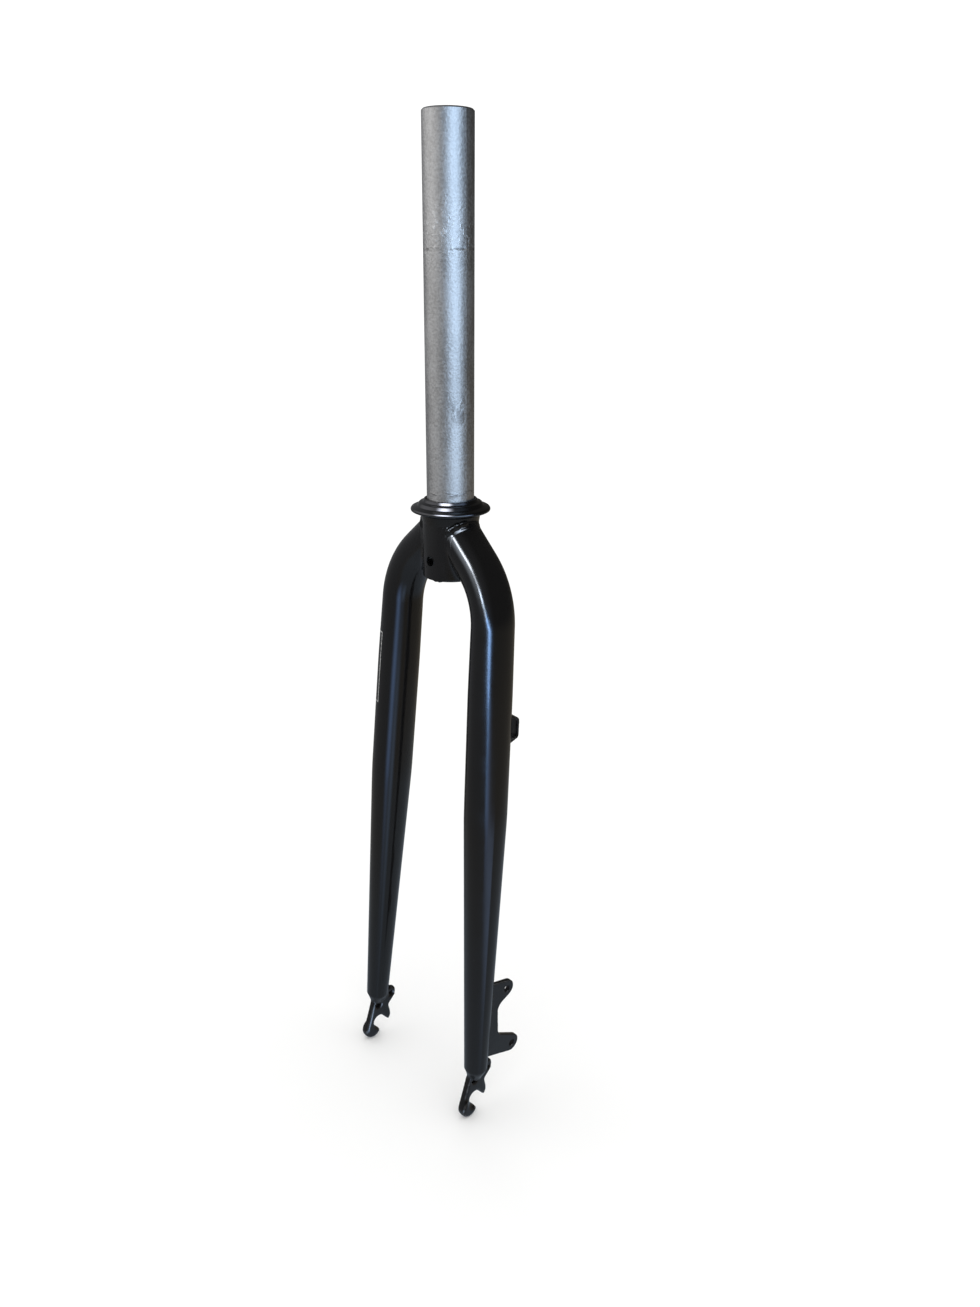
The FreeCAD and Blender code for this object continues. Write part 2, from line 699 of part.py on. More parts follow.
# Hose guide: a bent strip that bridges a gap for a cable tie behind the left leg.
upright = FreeCAD.Rotation(V(0, 1, 0), -size("splay"))
around = FreeCAD.Rotation(V(0, 0, 1), size("guide_turn"))
guide_place = FreeCAD.Placement(
    leg_point(size("guide_down")), lean.Rotation.multiply(upright).multiply(around)
)
guide_body = new_body("guide_strip", guide_place)
bridge = new_sketch(guide_body, "XZ_Plane", "guide_bridge")
outline(bridge, [
    ("guide_root", "guide_end"),
    ("guide_top", "guide_edge"),
    ("guide_top", "-guide_edge"),
    ("guide_root", "-guide_end"),
    ("guide_root", "-guide_toe"),
    ("guide_under", "-guide_edge_in"),
    ("guide_under", "guide_edge_in"),
    ("guide_root", "guide_toe"),
])
strip = pad(guide_body, bridge, "guide_pad", "Dims.guide_w")
strip.Midplane = True
doc.recompute()


def bends_at(level):
    """Edges across the strip at one height above the axis of the leg."""
    def test(edge):
        box = edge.BoundBox
        across = abs(box.YLength - size("guide_w")) < NEAR
        return across and abs(box.Center.x - size(level)) < NEAR
    return test


outer_bends = guide_body.newObject("PartDesign::Fillet", "guide_outer_bends")
outer_bends.Base = (strip, edges_where(strip.Shape, bends_at("guide_top")))
outer_bends.setExpression("Radius", "Dims.guide_bend")
doc.recompute()
inner_bends = guide_body.newObject("PartDesign::Fillet", "guide_inner_bends")
inner_bends.Base = (outer_bends, edges_where(outer_bends.Shape, bends_at("guide_under")))
inner_bends.setExpression("Radius", "Dims.guide_bend - Dims.guide_sheet")
doc.recompute()
hose_guide = cut("hose_guide", guide_body, blade_outer)
doc.recompute()

# Weld round each blade at the neck: a hollow fillet all round, with a bead that is
# thickest over the top of the blade and dies out under it.
crown_union = fuse("crown_union", [blade_outer, neck_core])
doc.recompute()


def in_seam(edge):
    """Edges where the blade meets the side of the neck."""
    middle = edge.valueAt((edge.FirstParameter + edge.LastParameter) / 2)
    if abs(math.hypot(middle.x, middle.y) - size("neck_r")) > NEAR:
        return False
    return -size("neck_drop") - size("neck_r") < middle.z < -size("shoulder_drop")


blend = doc.addObject("Part::Fillet", "crown_blend")
blend.Base = crown_union
blend.Edges = [
    (i + 1, size("crown_fillet"), size("crown_fillet"))
    for i, e in enumerate(crown_union.Shape.Edges) if in_seam(e)
]
swell = size("crown_bead") / 2
slant = lean.Rotation.multiply(FreeCAD.Rotation(V(0, 1, 0), 180 - size("bend_angle")))
over_blade = doc.addObject("Part::Cylinder", "bead_over_blade")
over_blade.setExpression("Radius", "Dims.crown_tube_r + Dims.crown_bead / 2")
over_blade.setExpression("Height", "2 * Dims.neck_d")
over_blade.Placement = FreeCAD.Placement(lean.Base + slant.multVec(V(-swell, 0, 0)), slant)
over_neck = doc.addObject("Part::Cylinder", "bead_over_neck")
over_neck.setExpression("Radius", "Dims.neck_r + Dims.crown_bead / 2")
over_neck.setExpression("Height", "2 * Dims.neck_drop")
over_neck.setExpression("Placement.Base.x", "Dims.crown_bead / 2")
over_neck.setExpression("Placement.Base.z", "-1.5 * Dims.neck_drop")
bead = doc.addObject("Part::MultiCommon", "crown_bead_run")
bead.Shapes = [over_blade, over_neck]
bead_side = doc.addObject("Part::Box", "bead_side")
bead_side.setExpression("Length", "2 * Dims.neck_d")
bead_side.setExpression("Width", "4 * Dims.neck_d")
bead_side.setExpression("Height", "Dims.neck_drop - Dims.shoulder_drop - Dims.race_gap")
bead_side.setExpression("Placement.Base.y", "-2 * Dims.neck_d")
bead_side.setExpression("Placement.Base.z", "-Dims.neck_drop")
weld_metal = fuse("crown_weld_metal", [blend, bead])
weld_here = doc.addObject("Part::MultiCommon", "crown_weld_here")
weld_here.Shapes = [weld_metal, bead_side]
crown_solids = fuse("crown_solids", [blade_outer, neck_form])
left_crown_weld = cut("left_crown_weld", weld_here, crown_solids)
right_crown_weld = mirrored("right_crown_weld", left_crown_weld)
doc.recompute()

# Tapered weld that closes each blade tip over the dropout.
cap_body = lean_body("tip_cap")
cap = leg_sketch(cap_body, "tip_cap_profile")
outline(cap, [
    ("0", "-leg_end"),
    ("tip_r", "-leg_end"),
    ("tip_r", "-cap_end"),
    ("cap_nose_r", "-cap_nose"),
    ("0", "-cap_nose"),
])
turned(cap_body, cap, "tip_cap_turning")
cap_seat = fuse("cap_seat", [left_dropout, disc_mount])
left_dropout_weld = cut("left_dropout_weld", cap_body, cap_seat)
right_dropout_weld = mirrored("right_dropout_weld", left_dropout_weld)
doc.recompute()

# Weld along both sides of the brake mount where it meets the leg.
def seam_point(down, x):
    """Point on the back of the leg at a distance below the knee, in an upright plane."""
    axis = leg_point(down)
    reach = math.sqrt(leg_radius(down) ** 2 - (x - axis.x) ** 2)
    return V(x, axis.y + reach, axis.z)


mount_solids = fuse("mount_solids", [blade_outer, disc_mount])


def mount_weld(name, x):
    """Round bead with rounded ends in the corner between the plate and the leg."""
    upper = seam_point(size("mount_down") - size("mount_bead_up"), x)
    lower = seam_point(size("mount_down") + size("mount_bead_low"), x)
    rod = doc.addObject("Part::Cylinder", name + "_rod")
    rod.setExpression("Radius", "Dims.mount_bead")
    rod.Height = (upper - lower).Length
    rod.Placement = FreeCAD.Placement(lower, FreeCAD.Rotation(V(0, 0, 1), upper - lower))
    run = [rod]
    for where in (upper, lower):
        ball = doc.addObject("Part::Sphere", name + "_end")
        ball.setExpression("Radius", "Dims.mount_bead")
        ball.Placement.Base = where
        run.append(ball)
    return cut(name, fuse(name + "_run", run), mount_solids)


inner_mount_weld = mount_weld("inner_mount_weld", size("mount_inner_x"))
outer_mount_weld = mount_weld("outer_mount_weld", size("mount_outer_x"))
doc.recompute()

pieces = {
    "steerer_tube": steerer,
    "crown_race": race,
    "left_blade": left_blade,
    "right_blade": right_blade,
    "left_dropout": left_dropout,
    "right_dropout": right_dropout,
    "disc_mount": disc_mount,
    "hose_guide": hose_guide,
    "left_crown_weld": left_crown_weld,
    "right_crown_weld": right_crown_weld,
    "left_dropout_weld": left_dropout_weld,
    "right_dropout_weld": right_dropout_weld,
    "inner_mount_weld": inner_mount_weld,
    "outer_mount_weld": outer_mount_weld,
}

for item in doc.Objects:
    if "Invalid" in item.State or "Error" in item.State:
        raise RuntimeError("object in error: " + item.Name)
for name, piece in pieces.items():
    shape = piece.Shape
    if shape.isNull() or not shape.isValid():
        raise RuntimeError("bad shape: " + name)
    print(name, "solids", len(shape.Solids), "volume", round(shape.Volume, 1))
    piece.Label = name
    shape.exportStep("parts/%s.step" % name)
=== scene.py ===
# %% [markdown]
# # A rigid bicycle fork
# The solids come in as a fixed frame: a bare steering tube, a crown race, two bent legs, their
# dropouts, a brake mount, a hose guide and the welds between them. This lesson gives every
# surface its finish and adds the small things that welding, paint and wear leave behind.
# Everything is in metres, with Z up the steering axis and the front of the fork facing -Y.

# %% Load the solids and keep their box
import bpy
import bmesh
import math
from mathutils import Matrix, Vector
from mathutils.kdtree import KDTree


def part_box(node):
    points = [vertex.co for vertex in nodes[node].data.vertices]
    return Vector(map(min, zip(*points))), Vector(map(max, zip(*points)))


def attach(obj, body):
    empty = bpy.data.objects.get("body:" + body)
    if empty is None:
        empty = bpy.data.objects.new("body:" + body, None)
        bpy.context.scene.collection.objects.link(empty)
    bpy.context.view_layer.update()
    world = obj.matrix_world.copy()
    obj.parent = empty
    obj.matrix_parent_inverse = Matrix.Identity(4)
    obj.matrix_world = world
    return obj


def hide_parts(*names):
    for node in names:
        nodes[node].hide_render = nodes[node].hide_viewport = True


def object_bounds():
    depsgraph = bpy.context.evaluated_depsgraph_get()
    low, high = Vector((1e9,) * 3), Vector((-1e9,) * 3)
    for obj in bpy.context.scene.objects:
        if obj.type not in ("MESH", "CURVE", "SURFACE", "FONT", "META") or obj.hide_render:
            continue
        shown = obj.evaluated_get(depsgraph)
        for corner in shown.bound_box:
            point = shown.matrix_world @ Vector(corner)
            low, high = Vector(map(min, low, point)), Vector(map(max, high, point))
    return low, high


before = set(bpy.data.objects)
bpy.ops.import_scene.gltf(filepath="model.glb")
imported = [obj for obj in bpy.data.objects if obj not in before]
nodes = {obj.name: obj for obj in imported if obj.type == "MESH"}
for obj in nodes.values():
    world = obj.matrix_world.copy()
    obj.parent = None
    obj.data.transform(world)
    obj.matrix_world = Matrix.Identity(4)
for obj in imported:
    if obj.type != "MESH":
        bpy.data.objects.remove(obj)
cad_low, cad_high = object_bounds()
MM = 0.001
print("nodes", sorted(nodes))

# %% [markdown]
# ## Camera
# The photograph was taken from the front left, a little above the crown, with a wide lens held
# close. A wide lens makes the near leg look longer than the far one, so the distance matters
# more than the framing. The focal length is kept in pixels of the photograph and turned into
# millimetres on a 36 mm sensor, whose long side is the picture's height.

# %% Camera
PHOTO_HEIGHT = 1307
FOCAL_PIXELS = 981.9
SENSOR = 36.0
EYE = Vector((0.43106, -0.39899, 0.12697))
YAW, PITCH, ROLL = 0.78203, 0.37053, 0.008485


def camera_turn(yaw, pitch, roll):
    """Rotation whose columns are the picture's right, its up and the way back to the eye."""
    flat = math.cos(pitch)
    ahead = Vector((-math.sin(yaw) * flat, math.cos(yaw) * flat, -math.sin(pitch)))
    right = Vector((math.cos(yaw), math.sin(yaw), 0))
    up = right.cross(ahead)
    side = right * math.cos(roll) + up * math.sin(roll)
    top = up * math.cos(roll) - right * math.sin(roll)
    return Matrix((side, top, -ahead)).transposed()


camera_data = bpy.data.cameras.new("camera")
camera_data.sensor_width = SENSOR
camera_data.lens = FOCAL_PIXELS * SENSOR / PHOTO_HEIGHT
camera_data.clip_start = 0.01
camera = bpy.data.objects.new("camera", camera_data)
camera.location = EYE
camera.rotation_euler = camera_turn(YAW, PITCH, ROLL).to_euler()
bpy.context.scene.collection.objects.link(camera)
bpy.context.scene.camera = camera
print("lens in mm", round(camera_data.lens, 2))

# %% [markdown]
# ## Helpers for node materials
# A material is a small graph. These helpers add a node, join two sockets and set plain values,
# so that each finish below reads as a list of what it is made of.

# %% Node helpers


def new_material(name):
    """Empty material with a Principled shader on its output."""
    material = bpy.data.materials.new(name)
    material.use_nodes = True
    tree = material.node_tree
    shader = tree.nodes["Principled BSDF"]
    return material, tree, shader


def join(tree, out_socket, in_socket):
    tree.links.new(out_socket, in_socket)


def math_node(tree, operation, first, second=None):
    """Maths on sockets or plain numbers; the result is a socket."""
    node = tree.nodes.new("ShaderNodeMath")
    node.operation = operation
    for slot, value in zip(node.inputs, (first, second)):
        if value is None:
            continue
        if isinstance(value, (int, float)):
            slot.default_value = value
        else:
            tree.links.new(value, slot)
    return node.outputs[0]


def ramp(tree, value, low, high, to_low=0.0, to_high=1.0):
    """Value between low and high, eased to another range and held at its ends."""
    node = tree.nodes.new("ShaderNodeMapRange")
    node.interpolation_type = "SMOOTHSTEP"
    node.clamp = True
    tree.links.new(value, node.inputs["Value"])
    node.inputs["From Min"].default_value = low
    node.inputs["From Max"].default_value = high
    node.inputs["To Min"].default_value = to_low
    node.inputs["To Max"].default_value = to_high
    return node.outputs["Result"]


def blend_colour(tree, share, first, second):
    """Mix of two colours, each a socket or a tuple, by a share."""
    node = tree.nodes.new("ShaderNodeMix")
    node.data_type = "RGBA"
    tree.links.new(share, node.inputs["Factor"])
    for slot, value in ((node.inputs[6], first), (node.inputs[7], second)):
        if isinstance(value, tuple):
            slot.default_value = (*value, 1.0)
        else:
            tree.links.new(value, slot)
    return node.outputs[2]


def object_place(tree):
    """The surface point in the object's own frame."""
    return tree.nodes.new("ShaderNodeTexCoord").outputs["Object"]


def stretched(tree, place, scale):
    """The same place, scaled along each axis, for grain that runs one way."""
    node = tree.nodes.new("ShaderNodeMapping")
    tree.links.new(place, node.inputs["Vector"])
    node.inputs["Scale"].default_value = scale
    return node.outputs["Vector"]


def noise(tree, place, scale, detail=3.0, roughness=0.55):
    node = tree.nodes.new("ShaderNodeTexNoise")
    tree.links.new(place, node.inputs["Vector"])
    node.inputs["Scale"].default_value = scale
    node.inputs["Detail"].default_value = detail
    node.inputs["Roughness"].default_value = roughness
    return node.outputs["Fac"]


def bump(tree, height, strength, distance, under=None):
    node = tree.nodes.new("ShaderNodeBump")
    tree.links.new(height, node.inputs["Height"])
    node.inputs["Strength"].default_value = strength
    node.inputs["Distance"].default_value = distance
    if under is not None:
        tree.links.new(under, node.inputs["Normal"])
    return node.outputs["Normal"]


def wear(node_name, material):
    """Give a solid its finish."""
    piece = nodes[node_name]
    piece.data.materials.clear()
    piece.data.materials.append(material)


# %% [markdown]
# ## Satin black paint
# The legs, dropouts and fittings are sprayed black over steel. Sprayed paint is never quite
# flat: it has a fine orange peel, and its sheen varies a little from place to place. Both come
# from noise on the object's own coordinates, so they stay put when the fork is seen from
# another side. A few dust specks lie in the paint.

# %% Satin black paint
PAINT_BLACK = (0.0048, 0.0048, 0.0051)
DUST_GREY = (0.20, 0.19, 0.18)


def paint_layers(tree, shader, place, sheen_low=0.12, sheen_high=0.18):
    """Colour, sheen and orange peel of the paint; returns the normal."""
    cloud = noise(tree, place, 38.0, 4.0)
    join(tree, ramp(tree, cloud, 0.3, 0.7, sheen_low, sheen_high), shader.inputs["Roughness"])
    specks = tree.nodes.new("ShaderNodeTexVoronoi")
    join(tree, place, specks.inputs["Vector"])
    specks.inputs["Scale"].default_value = 300.0
    dot = ramp(tree, specks.outputs["Distance"], 0.05, 0.09, 1.0, 0.0)
    sparse = ramp(tree, noise(tree, place, 23.0, 2.0), 0.63, 0.70)
    dust = math_node(tree, "MULTIPLY", dot, sparse)
    faint = math_node(tree, "MULTIPLY", dust, 0.45)
    join(tree, blend_colour(tree, faint, PAINT_BLACK, DUST_GREY), shader.inputs["Base Color"])
    peel = noise(tree, place, 700.0, 2.0, 0.5)
    waves = noise(tree, place, 110.0, 2.0, 0.5)
    first = bump(tree, waves, 0.05, 0.0006)
    return bump(tree, peel, 0.05, 0.00018, first)


satin_black, tree, shader = new_material("satin_black_paint")
place = object_place(tree)
join(tree, paint_layers(tree, shader, place), shader.inputs["Normal"])
print("paint", satin_black.name)

# %% [markdown]
# ## Painted highlight on the edges
# The edges of the dropouts that stand out get a lighter grey painted into the paint's colour, a
# painted highlight in place of the light such rounded edges catch. Each vertex of such a piece
# carries how far it stands out, and a little noise breaks the grey up.

# %% Painted edge highlight
EDGE_HIGHLIGHT_GREY = (0.085, 0.088, 0.092)
highlit_edge_black, tree, shader = new_material("highlit_edge_black_paint")
place = object_place(tree)
join(tree, paint_layers(tree, shader, place), shader.inputs["Normal"])
# Painted highlight: a lighter grey where the edges stand out, broken up by noise.
edge_lit = tree.nodes.new("ShaderNodeAttribute")
edge_lit.attribute_name = "edge_highlight_share"
spots = ramp(tree, noise(tree, place, 240.0, 3.0, 0.6), 0.40, 0.62)
share = math_node(tree, "MULTIPLY", edge_lit.outputs["Fac"], spots)
coat = shader.inputs["Base Color"].links[0].from_socket
join(tree, blend_colour(tree, share, coat, EDGE_HIGHLIGHT_GREY), shader.inputs["Base Color"])
print("painted edge highlight", highlit_edge_black.name)

# %% [markdown]
# ## Painted weld
# A weld bead under paint keeps its ripples. The large ones are modelled further on; the finest
# are a coarser bump on the same paint.

# %% Painted weld
painted_weld, tree, shader = new_material("painted_weld")
place = object_place(tree)
paint = paint_layers(tree, shader, place, 0.16, 0.28)
lumps = noise(tree, place, 420.0, 3.0, 0.6)
join(tree, bump(tree, lumps, 0.30, 0.0004, paint), shader.inputs["Normal"])
print("weld finish", painted_weld.name)

# %% [markdown]
# ## Black crown race
# The race is a turned steel ring with a hard black oxide on it. The oxide is thin, so it still
# mirrors like dark metal, and it is the glossiest thing on the fork. Faint rings are left by
# the lathe.

# %% Black crown race
RACE_BLACK = (0.075, 0.075, 0.08)
race_black, tree, shader = new_material("black_race")
place = object_place(tree)
shader.inputs["Base Color"].default_value = (*RACE_BLACK, 1.0)
shader.inputs["Metallic"].default_value = 1.0
cloud = noise(tree, place, 90.0, 3.0)
join(tree, ramp(tree, cloud, 0.3, 0.75, 0.12, 0.20), shader.inputs["Roughness"])
rings = noise(tree, stretched(tree, place, (1.0, 1.0, 30.0)), 60.0, 2.0)
join(tree, bump(tree, rings, 0.05, 0.0003), shader.inputs["Normal"])
print("race finish", race_black.name)

# %% [markdown]
# ## Bare steel of the steering tube
# The tube is drawn steel with no paint on it, dull grey and mottled, with fine marks along its
# length, a scuffed ring where a headset part has rubbed, and a few scratches. Below the race
# the same tube carries the black paint of the crown, so the finish changes with height.

# %% Bare steel
STEEL = (0.66, 0.655, 0.65)
STEEL_DARK = (0.44, 0.435, 0.43)
PAINT_TOP = -0.006
SCUFF_HEIGHT, SCUFF_REACH = 0.1385, 0.0013
FLECK_HEIGHT, FLECK_REACH = 0.1475, 0.020
RESIDUE_HEIGHT, RESIDUE_REACH = 0.0044, 0.0022
PATCH = (0.0135, -0.0046, 0.0533)
SOIL_GREY, FLECK_GREY = (0.26, 0.25, 0.245), (0.86, 0.86, 0.86)

bare_steel, tree, shader = new_material("bare_steel")
place = object_place(tree)
split = tree.nodes.new("ShaderNodeSeparateXYZ")
join(tree, place, split.inputs[0])
along = split.outputs["Z"]
painted = ramp(tree, along, PAINT_TOP - 0.0005, PAINT_TOP + 0.0005, 1.0, 0.0)
mottle = noise(tree, place, 760.0, 3.0, 0.6)
grain = noise(tree, stretched(tree, place, (1100.0, 1100.0, 40.0)), 1.0, 3.0, 0.6)
stain = noise(tree, stretched(tree, place, (70.0, 70.0, 22.0)), 1.0, 4.0, 0.6)
half_mottle = math_node(tree, "MULTIPLY", mottle, 0.5)
half_stain = math_node(tree, "MULTIPLY", stain, 0.5)
shade = math_node(tree, "ADD", half_mottle, half_stain)
steel_colour = blend_colour(tree, ramp(tree, shade, 0.36, 0.62), STEEL_DARK, STEEL)


def near_height(level, reach):
    """1 at a height of the tube, falling to 0 at a distance above and below it."""
    off = math_node(tree, "ABSOLUTE", math_node(tree, "SUBTRACT", along, level))
    return ramp(tree, off, 0.0, reach, 1.0, 0.0)


broken = noise(tree, stretched(tree, place, (150.0, 150.0, 420.0)), 1.0, 3.0, 0.65)
ring_dark = math_node(
    tree, "MULTIPLY", near_height(SCUFF_HEIGHT, SCUFF_REACH), ramp(tree, broken, 0.44, 0.60),
)
flecks = noise(tree, stretched(tree, place, (380.0, 380.0, 260.0)), 1.0, 3.0, 0.6)
ring_wide = math_node(
    tree, "MULTIPLY", near_height(FLECK_HEIGHT, FLECK_REACH), ramp(tree, flecks, 0.56, 0.64),
)
residue = math_node(
    tree, "MULTIPLY", near_height(RESIDUE_HEIGHT, RESIDUE_REACH), ramp(tree, broken, 0.48, 0.66),
)
gap = tree.nodes.new("ShaderNodeVectorMath")
gap.operation = "DISTANCE"
join(tree, place, gap.inputs[0])
gap.inputs[1].default_value = PATCH
scratches = noise(tree, stretched(tree, place, (260.0, 260.0, 110.0)), 1.0, 3.0, 0.6)
patch = math_node(
    tree, "MULTIPLY", ramp(tree, gap.outputs["Value"], 0.003, 0.011, 0.7, 0.0),
    ramp(tree, scratches, 0.42, 0.56),
)
soil = math_node(tree, "MAXIMUM", ring_dark, math_node(tree, "MAXIMUM", patch, residue))
steel_colour = blend_colour(tree, soil, steel_colour, SOIL_GREY)
steel_colour = blend_colour(tree, ring_wide, steel_colour, FLECK_GREY)

paint_normal = paint_layers(tree, shader, place)
paint_colour = shader.inputs["Base Color"].links[0].from_socket
paint_sheen = shader.inputs["Roughness"].links[0].from_socket
join(tree, blend_colour(tree, painted, steel_colour, paint_colour), shader.inputs["Base Color"])
steel_sheen = ramp(tree, shade, 0.3, 0.7, 0.34, 0.46)
sheen = tree.nodes.new("ShaderNodeMix")
join(tree, painted, sheen.inputs["Factor"])
join(tree, steel_sheen, sheen.inputs["A"])
join(tree, paint_sheen, sheen.inputs["B"])
join(tree, sheen.outputs["Result"], shader.inputs["Roughness"])
join(tree, math_node(tree, "SUBTRACT", 1.0, painted), shader.inputs["Metallic"])
dents = bump(tree, mottle, 0.32, 0.0005)
lines = bump(tree, grain, 0.10, 0.00025, dents)
worn = bump(tree, math_node(tree, "ADD", soil, ring_wide), 0.35, 0.0003, lines)
normal = tree.nodes.new("ShaderNodeMix")
normal.data_type = "VECTOR"
join(tree, painted, normal.inputs["Factor"])
join(tree, worn, normal.inputs[4])
join(tree, paint_normal, normal.inputs[5])
join(tree, normal.outputs[1], shader.inputs["Normal"])
wear("steerer_tube", bare_steel)
print("steel", bare_steel.name)

# %% [markdown]
# ## Modelling helpers
# Most pieces below start from a few bmesh operators. Where several solids are welded and then
# painted as one, their meshes are put together, given one skin by a voxel remesh and smoothed,
# because a thick coat of paint rounds every edge and bridges every small step.

# %% Modelling helpers
pieces = []


def new_piece(name, mesh, material):
    """Object for a finished mesh that rides with the fork."""
    for face in mesh.polygons:
        face.use_smooth = True
    mesh.materials.clear()
    mesh.materials.append(material)
    piece = bpy.data.objects.new(name, mesh)
    bpy.context.scene.collection.objects.link(piece)
    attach(piece, "root")
    pieces.append(piece)
    print(name, "faces", len(mesh.polygons))
    return piece


def take_solid(work, node_name, swell=0.0):
    """Copy a CAD solid into a bmesh, merged, and swell it along its normals."""
    fresh = bmesh.new()
    fresh.from_mesh(nodes[node_name].data)
    bmesh.ops.remove_doubles(fresh, verts=fresh.verts, dist=1e-6)
    fresh.normal_update()
    for vert in fresh.verts:
        vert.co += vert.normal * swell
    store = bpy.data.meshes.new("store")
    fresh.to_mesh(store)
    fresh.free()
    work.from_mesh(store)
    bpy.data.meshes.remove(store)


def baked(work, kind, **settings):
    """Mesh of a bmesh after one modifier."""
    store = bpy.data.meshes.new("store")
    work.to_mesh(store)
    work.free()
    holder = bpy.data.objects.new("holder", store)
    bpy.context.scene.collection.objects.link(holder)
    modifier = holder.modifiers.new("change", kind)
    for name, value in settings.items():
        setattr(modifier, name, value)
    depsgraph = bpy.context.evaluated_depsgraph_get()
    mesh = bpy.data.meshes.new_from_object(holder.evaluated_get(depsgraph))
    bpy.data.objects.remove(holder)
    bpy.data.meshes.remove(store)
    return mesh


def soften(work, verts, rounds):
    """Draw vertices towards the middle of their neighbours, several times over."""
    for _ in range(rounds):
        bmesh.ops.smooth_vert(
            work, verts=verts, factor=0.5, use_axis_x=True, use_axis_y=True, use_axis_z=True
        )


def inside_box(place):
    """The same place, held inside the box of the solids."""
    return [min(max(v, low), high) for v, low, high in zip(place, cad_low, cad_high)]


def skin_over(work, voxel, rounds):
    """One closed skin over everything in a bmesh, with its edges softened."""
    skin = baked(work, "REMESH", mode="VOXEL", voxel_size=voxel)
    fresh = bmesh.new()
    fresh.from_mesh(skin)
    soften(fresh, fresh.verts, rounds)
    for vert in fresh.verts:
        vert.co = inside_box(vert.co)
    bmesh.ops.recalc_face_normals(fresh, faces=fresh.faces)
    fresh.to_mesh(skin)
    fresh.free()
    return skin


def narrow_hole(work, middle, radius, by):
    """Draw the wall of a hole across the plate inwards, against what rounding takes away."""
    for vert in work.verts:
        off = Vector((0, vert.co.y - middle.y, vert.co.z - middle.z))
        if abs(off.length - radius) < 0.05 * MM:
            vert.co -= off.normalized() * by


def droplet(work, place, radius, squash=1.0, along=None):
    """Small round lump; squash flattens it along a direction."""
    made = bmesh.ops.create_icosphere(work, subdivisions=2, radius=radius)["verts"]
    if along is not None:
        turn = along.to_track_quat("Z", "Y").to_matrix()
        bmesh.ops.scale(work, vec=(1.0, 1.0, squash), verts=made)
        bmesh.ops.rotate(work, cent=(0, 0, 0), matrix=turn, verts=made)
    bmesh.ops.translate(work, vec=place, verts=made)


# %% [markdown]
# ## The run of a leg
# Both legs lie in a plane that leans forward. A leg leaves the steering axis at a slope, bends
# once and goes down almost straight while it narrows. These few numbers say where its axis is,
# so that welds and marks can be put on it.

# %% The run of a leg
TILT = math.atan2(31.5, 394.5)
SPLAY = math.radians(2.2)
SLOPE = math.radians(48.0)
CROSS = Vector((0, 0, -14.5 * MM))
CROWN_RADIUS = 13.3 * MM
NECK_RADIUS = 17.3 * MM
CROWN_RUN = 33.6 * MM
BEND_RADIUS = 50.0 * MM
TIP = Vector((53.5 * MM, -29.5 * MM, -384.0 * MM))
TIP_RADIUS = 8.0 * MM
TAPER = 5.85 / 189.0
LEG_TOP = 313.2 * MM
LEG_PROFILE = ((0.0, 8.0), (189.0, 13.85), (271.2, 13.85), (313.2, 13.3))
EASE, EASE_STEPS = 6.0 * MM, 6
PLANE_NORMAL = Vector((0, math.cos(TILT), -math.sin(TILT)))


def leaning(x, z):
    """Direction in the leaning plane from its own x and z."""
    return Vector((x, z * math.sin(TILT), z * math.cos(TILT)))


CROWN_WAY = leaning(math.sin(SLOPE), -math.cos(SLOPE))
CROWN_UP = leaning(math.cos(SLOPE), math.sin(SLOPE))
LEG_UP = leaning(-math.sin(SPLAY), math.cos(SPLAY))


def seam_point(angle):
    """Point where the left blade meets the neck, by the angle round the blade from its top."""
    out = CROWN_UP * math.cos(angle) + PLANE_NORMAL * math.sin(angle)
    start = CROSS + out * CROWN_RADIUS
    a = CROWN_WAY.x ** 2 + CROWN_WAY.y ** 2
    b = start.x * CROWN_WAY.x + start.y * CROWN_WAY.y
    c = start.x ** 2 + start.y ** 2 - NECK_RADIUS ** 2
    point = start + CROWN_WAY * ((-b + math.sqrt(b * b - a * c)) / a)
    neck_out = Vector((point.x, point.y, 0)).normalized()
    return point, (out + neck_out).normalized()


def across(vector, side):
    """The same vector on the left leg (side 1) or the right one (side -1)."""
    return Vector((vector.x * side, vector.y, vector.z))


print("top of the seam", [round(v / MM, 1) for v in seam_point(0.0)[0]])

# %% [markdown]
# ## Painted legs
# A leg is a drawn tube that is swaged thinner towards its tip and bent at the crown. It is made
# in that order of shapes here: a ring is pushed out along the slope, spun round the bend and
# drawn down the leg while it narrows. The neck is then cut out of its upper end. Swaging leaves
# no crease, so the changes of taper are eased.

# %% Painted legs
BEND_TURN = SLOPE - SPLAY
LEG_RINGS = 52
CUT_RADIUS, CUT_LENGTH, CUT_MIDDLE = NECK_RADIUS - 0.3 * MM, 80 * MM, -30 * MM
SHARP = math.radians(30)


def plain_radius(height):
    """Radius of a leg at a height above its tip, with straight runs between the rows."""
    for (low, first), (high, last) in zip(LEG_PROFILE, LEG_PROFILE[1:]):
        if height <= high * MM:
            return (first + (last - first) * (height / MM - low) / (high - low)) * MM
    return CROWN_RADIUS


def leg_radius(height):
    """The same radius, averaged over a short run so that no crease is left."""
    reach = min(EASE, height, LEG_TOP - height)
    steps = range(-EASE_STEPS, EASE_STEPS + 1)
    return sum(plain_radius(height + reach * step / EASE_STEPS) for step in steps) / len(steps)


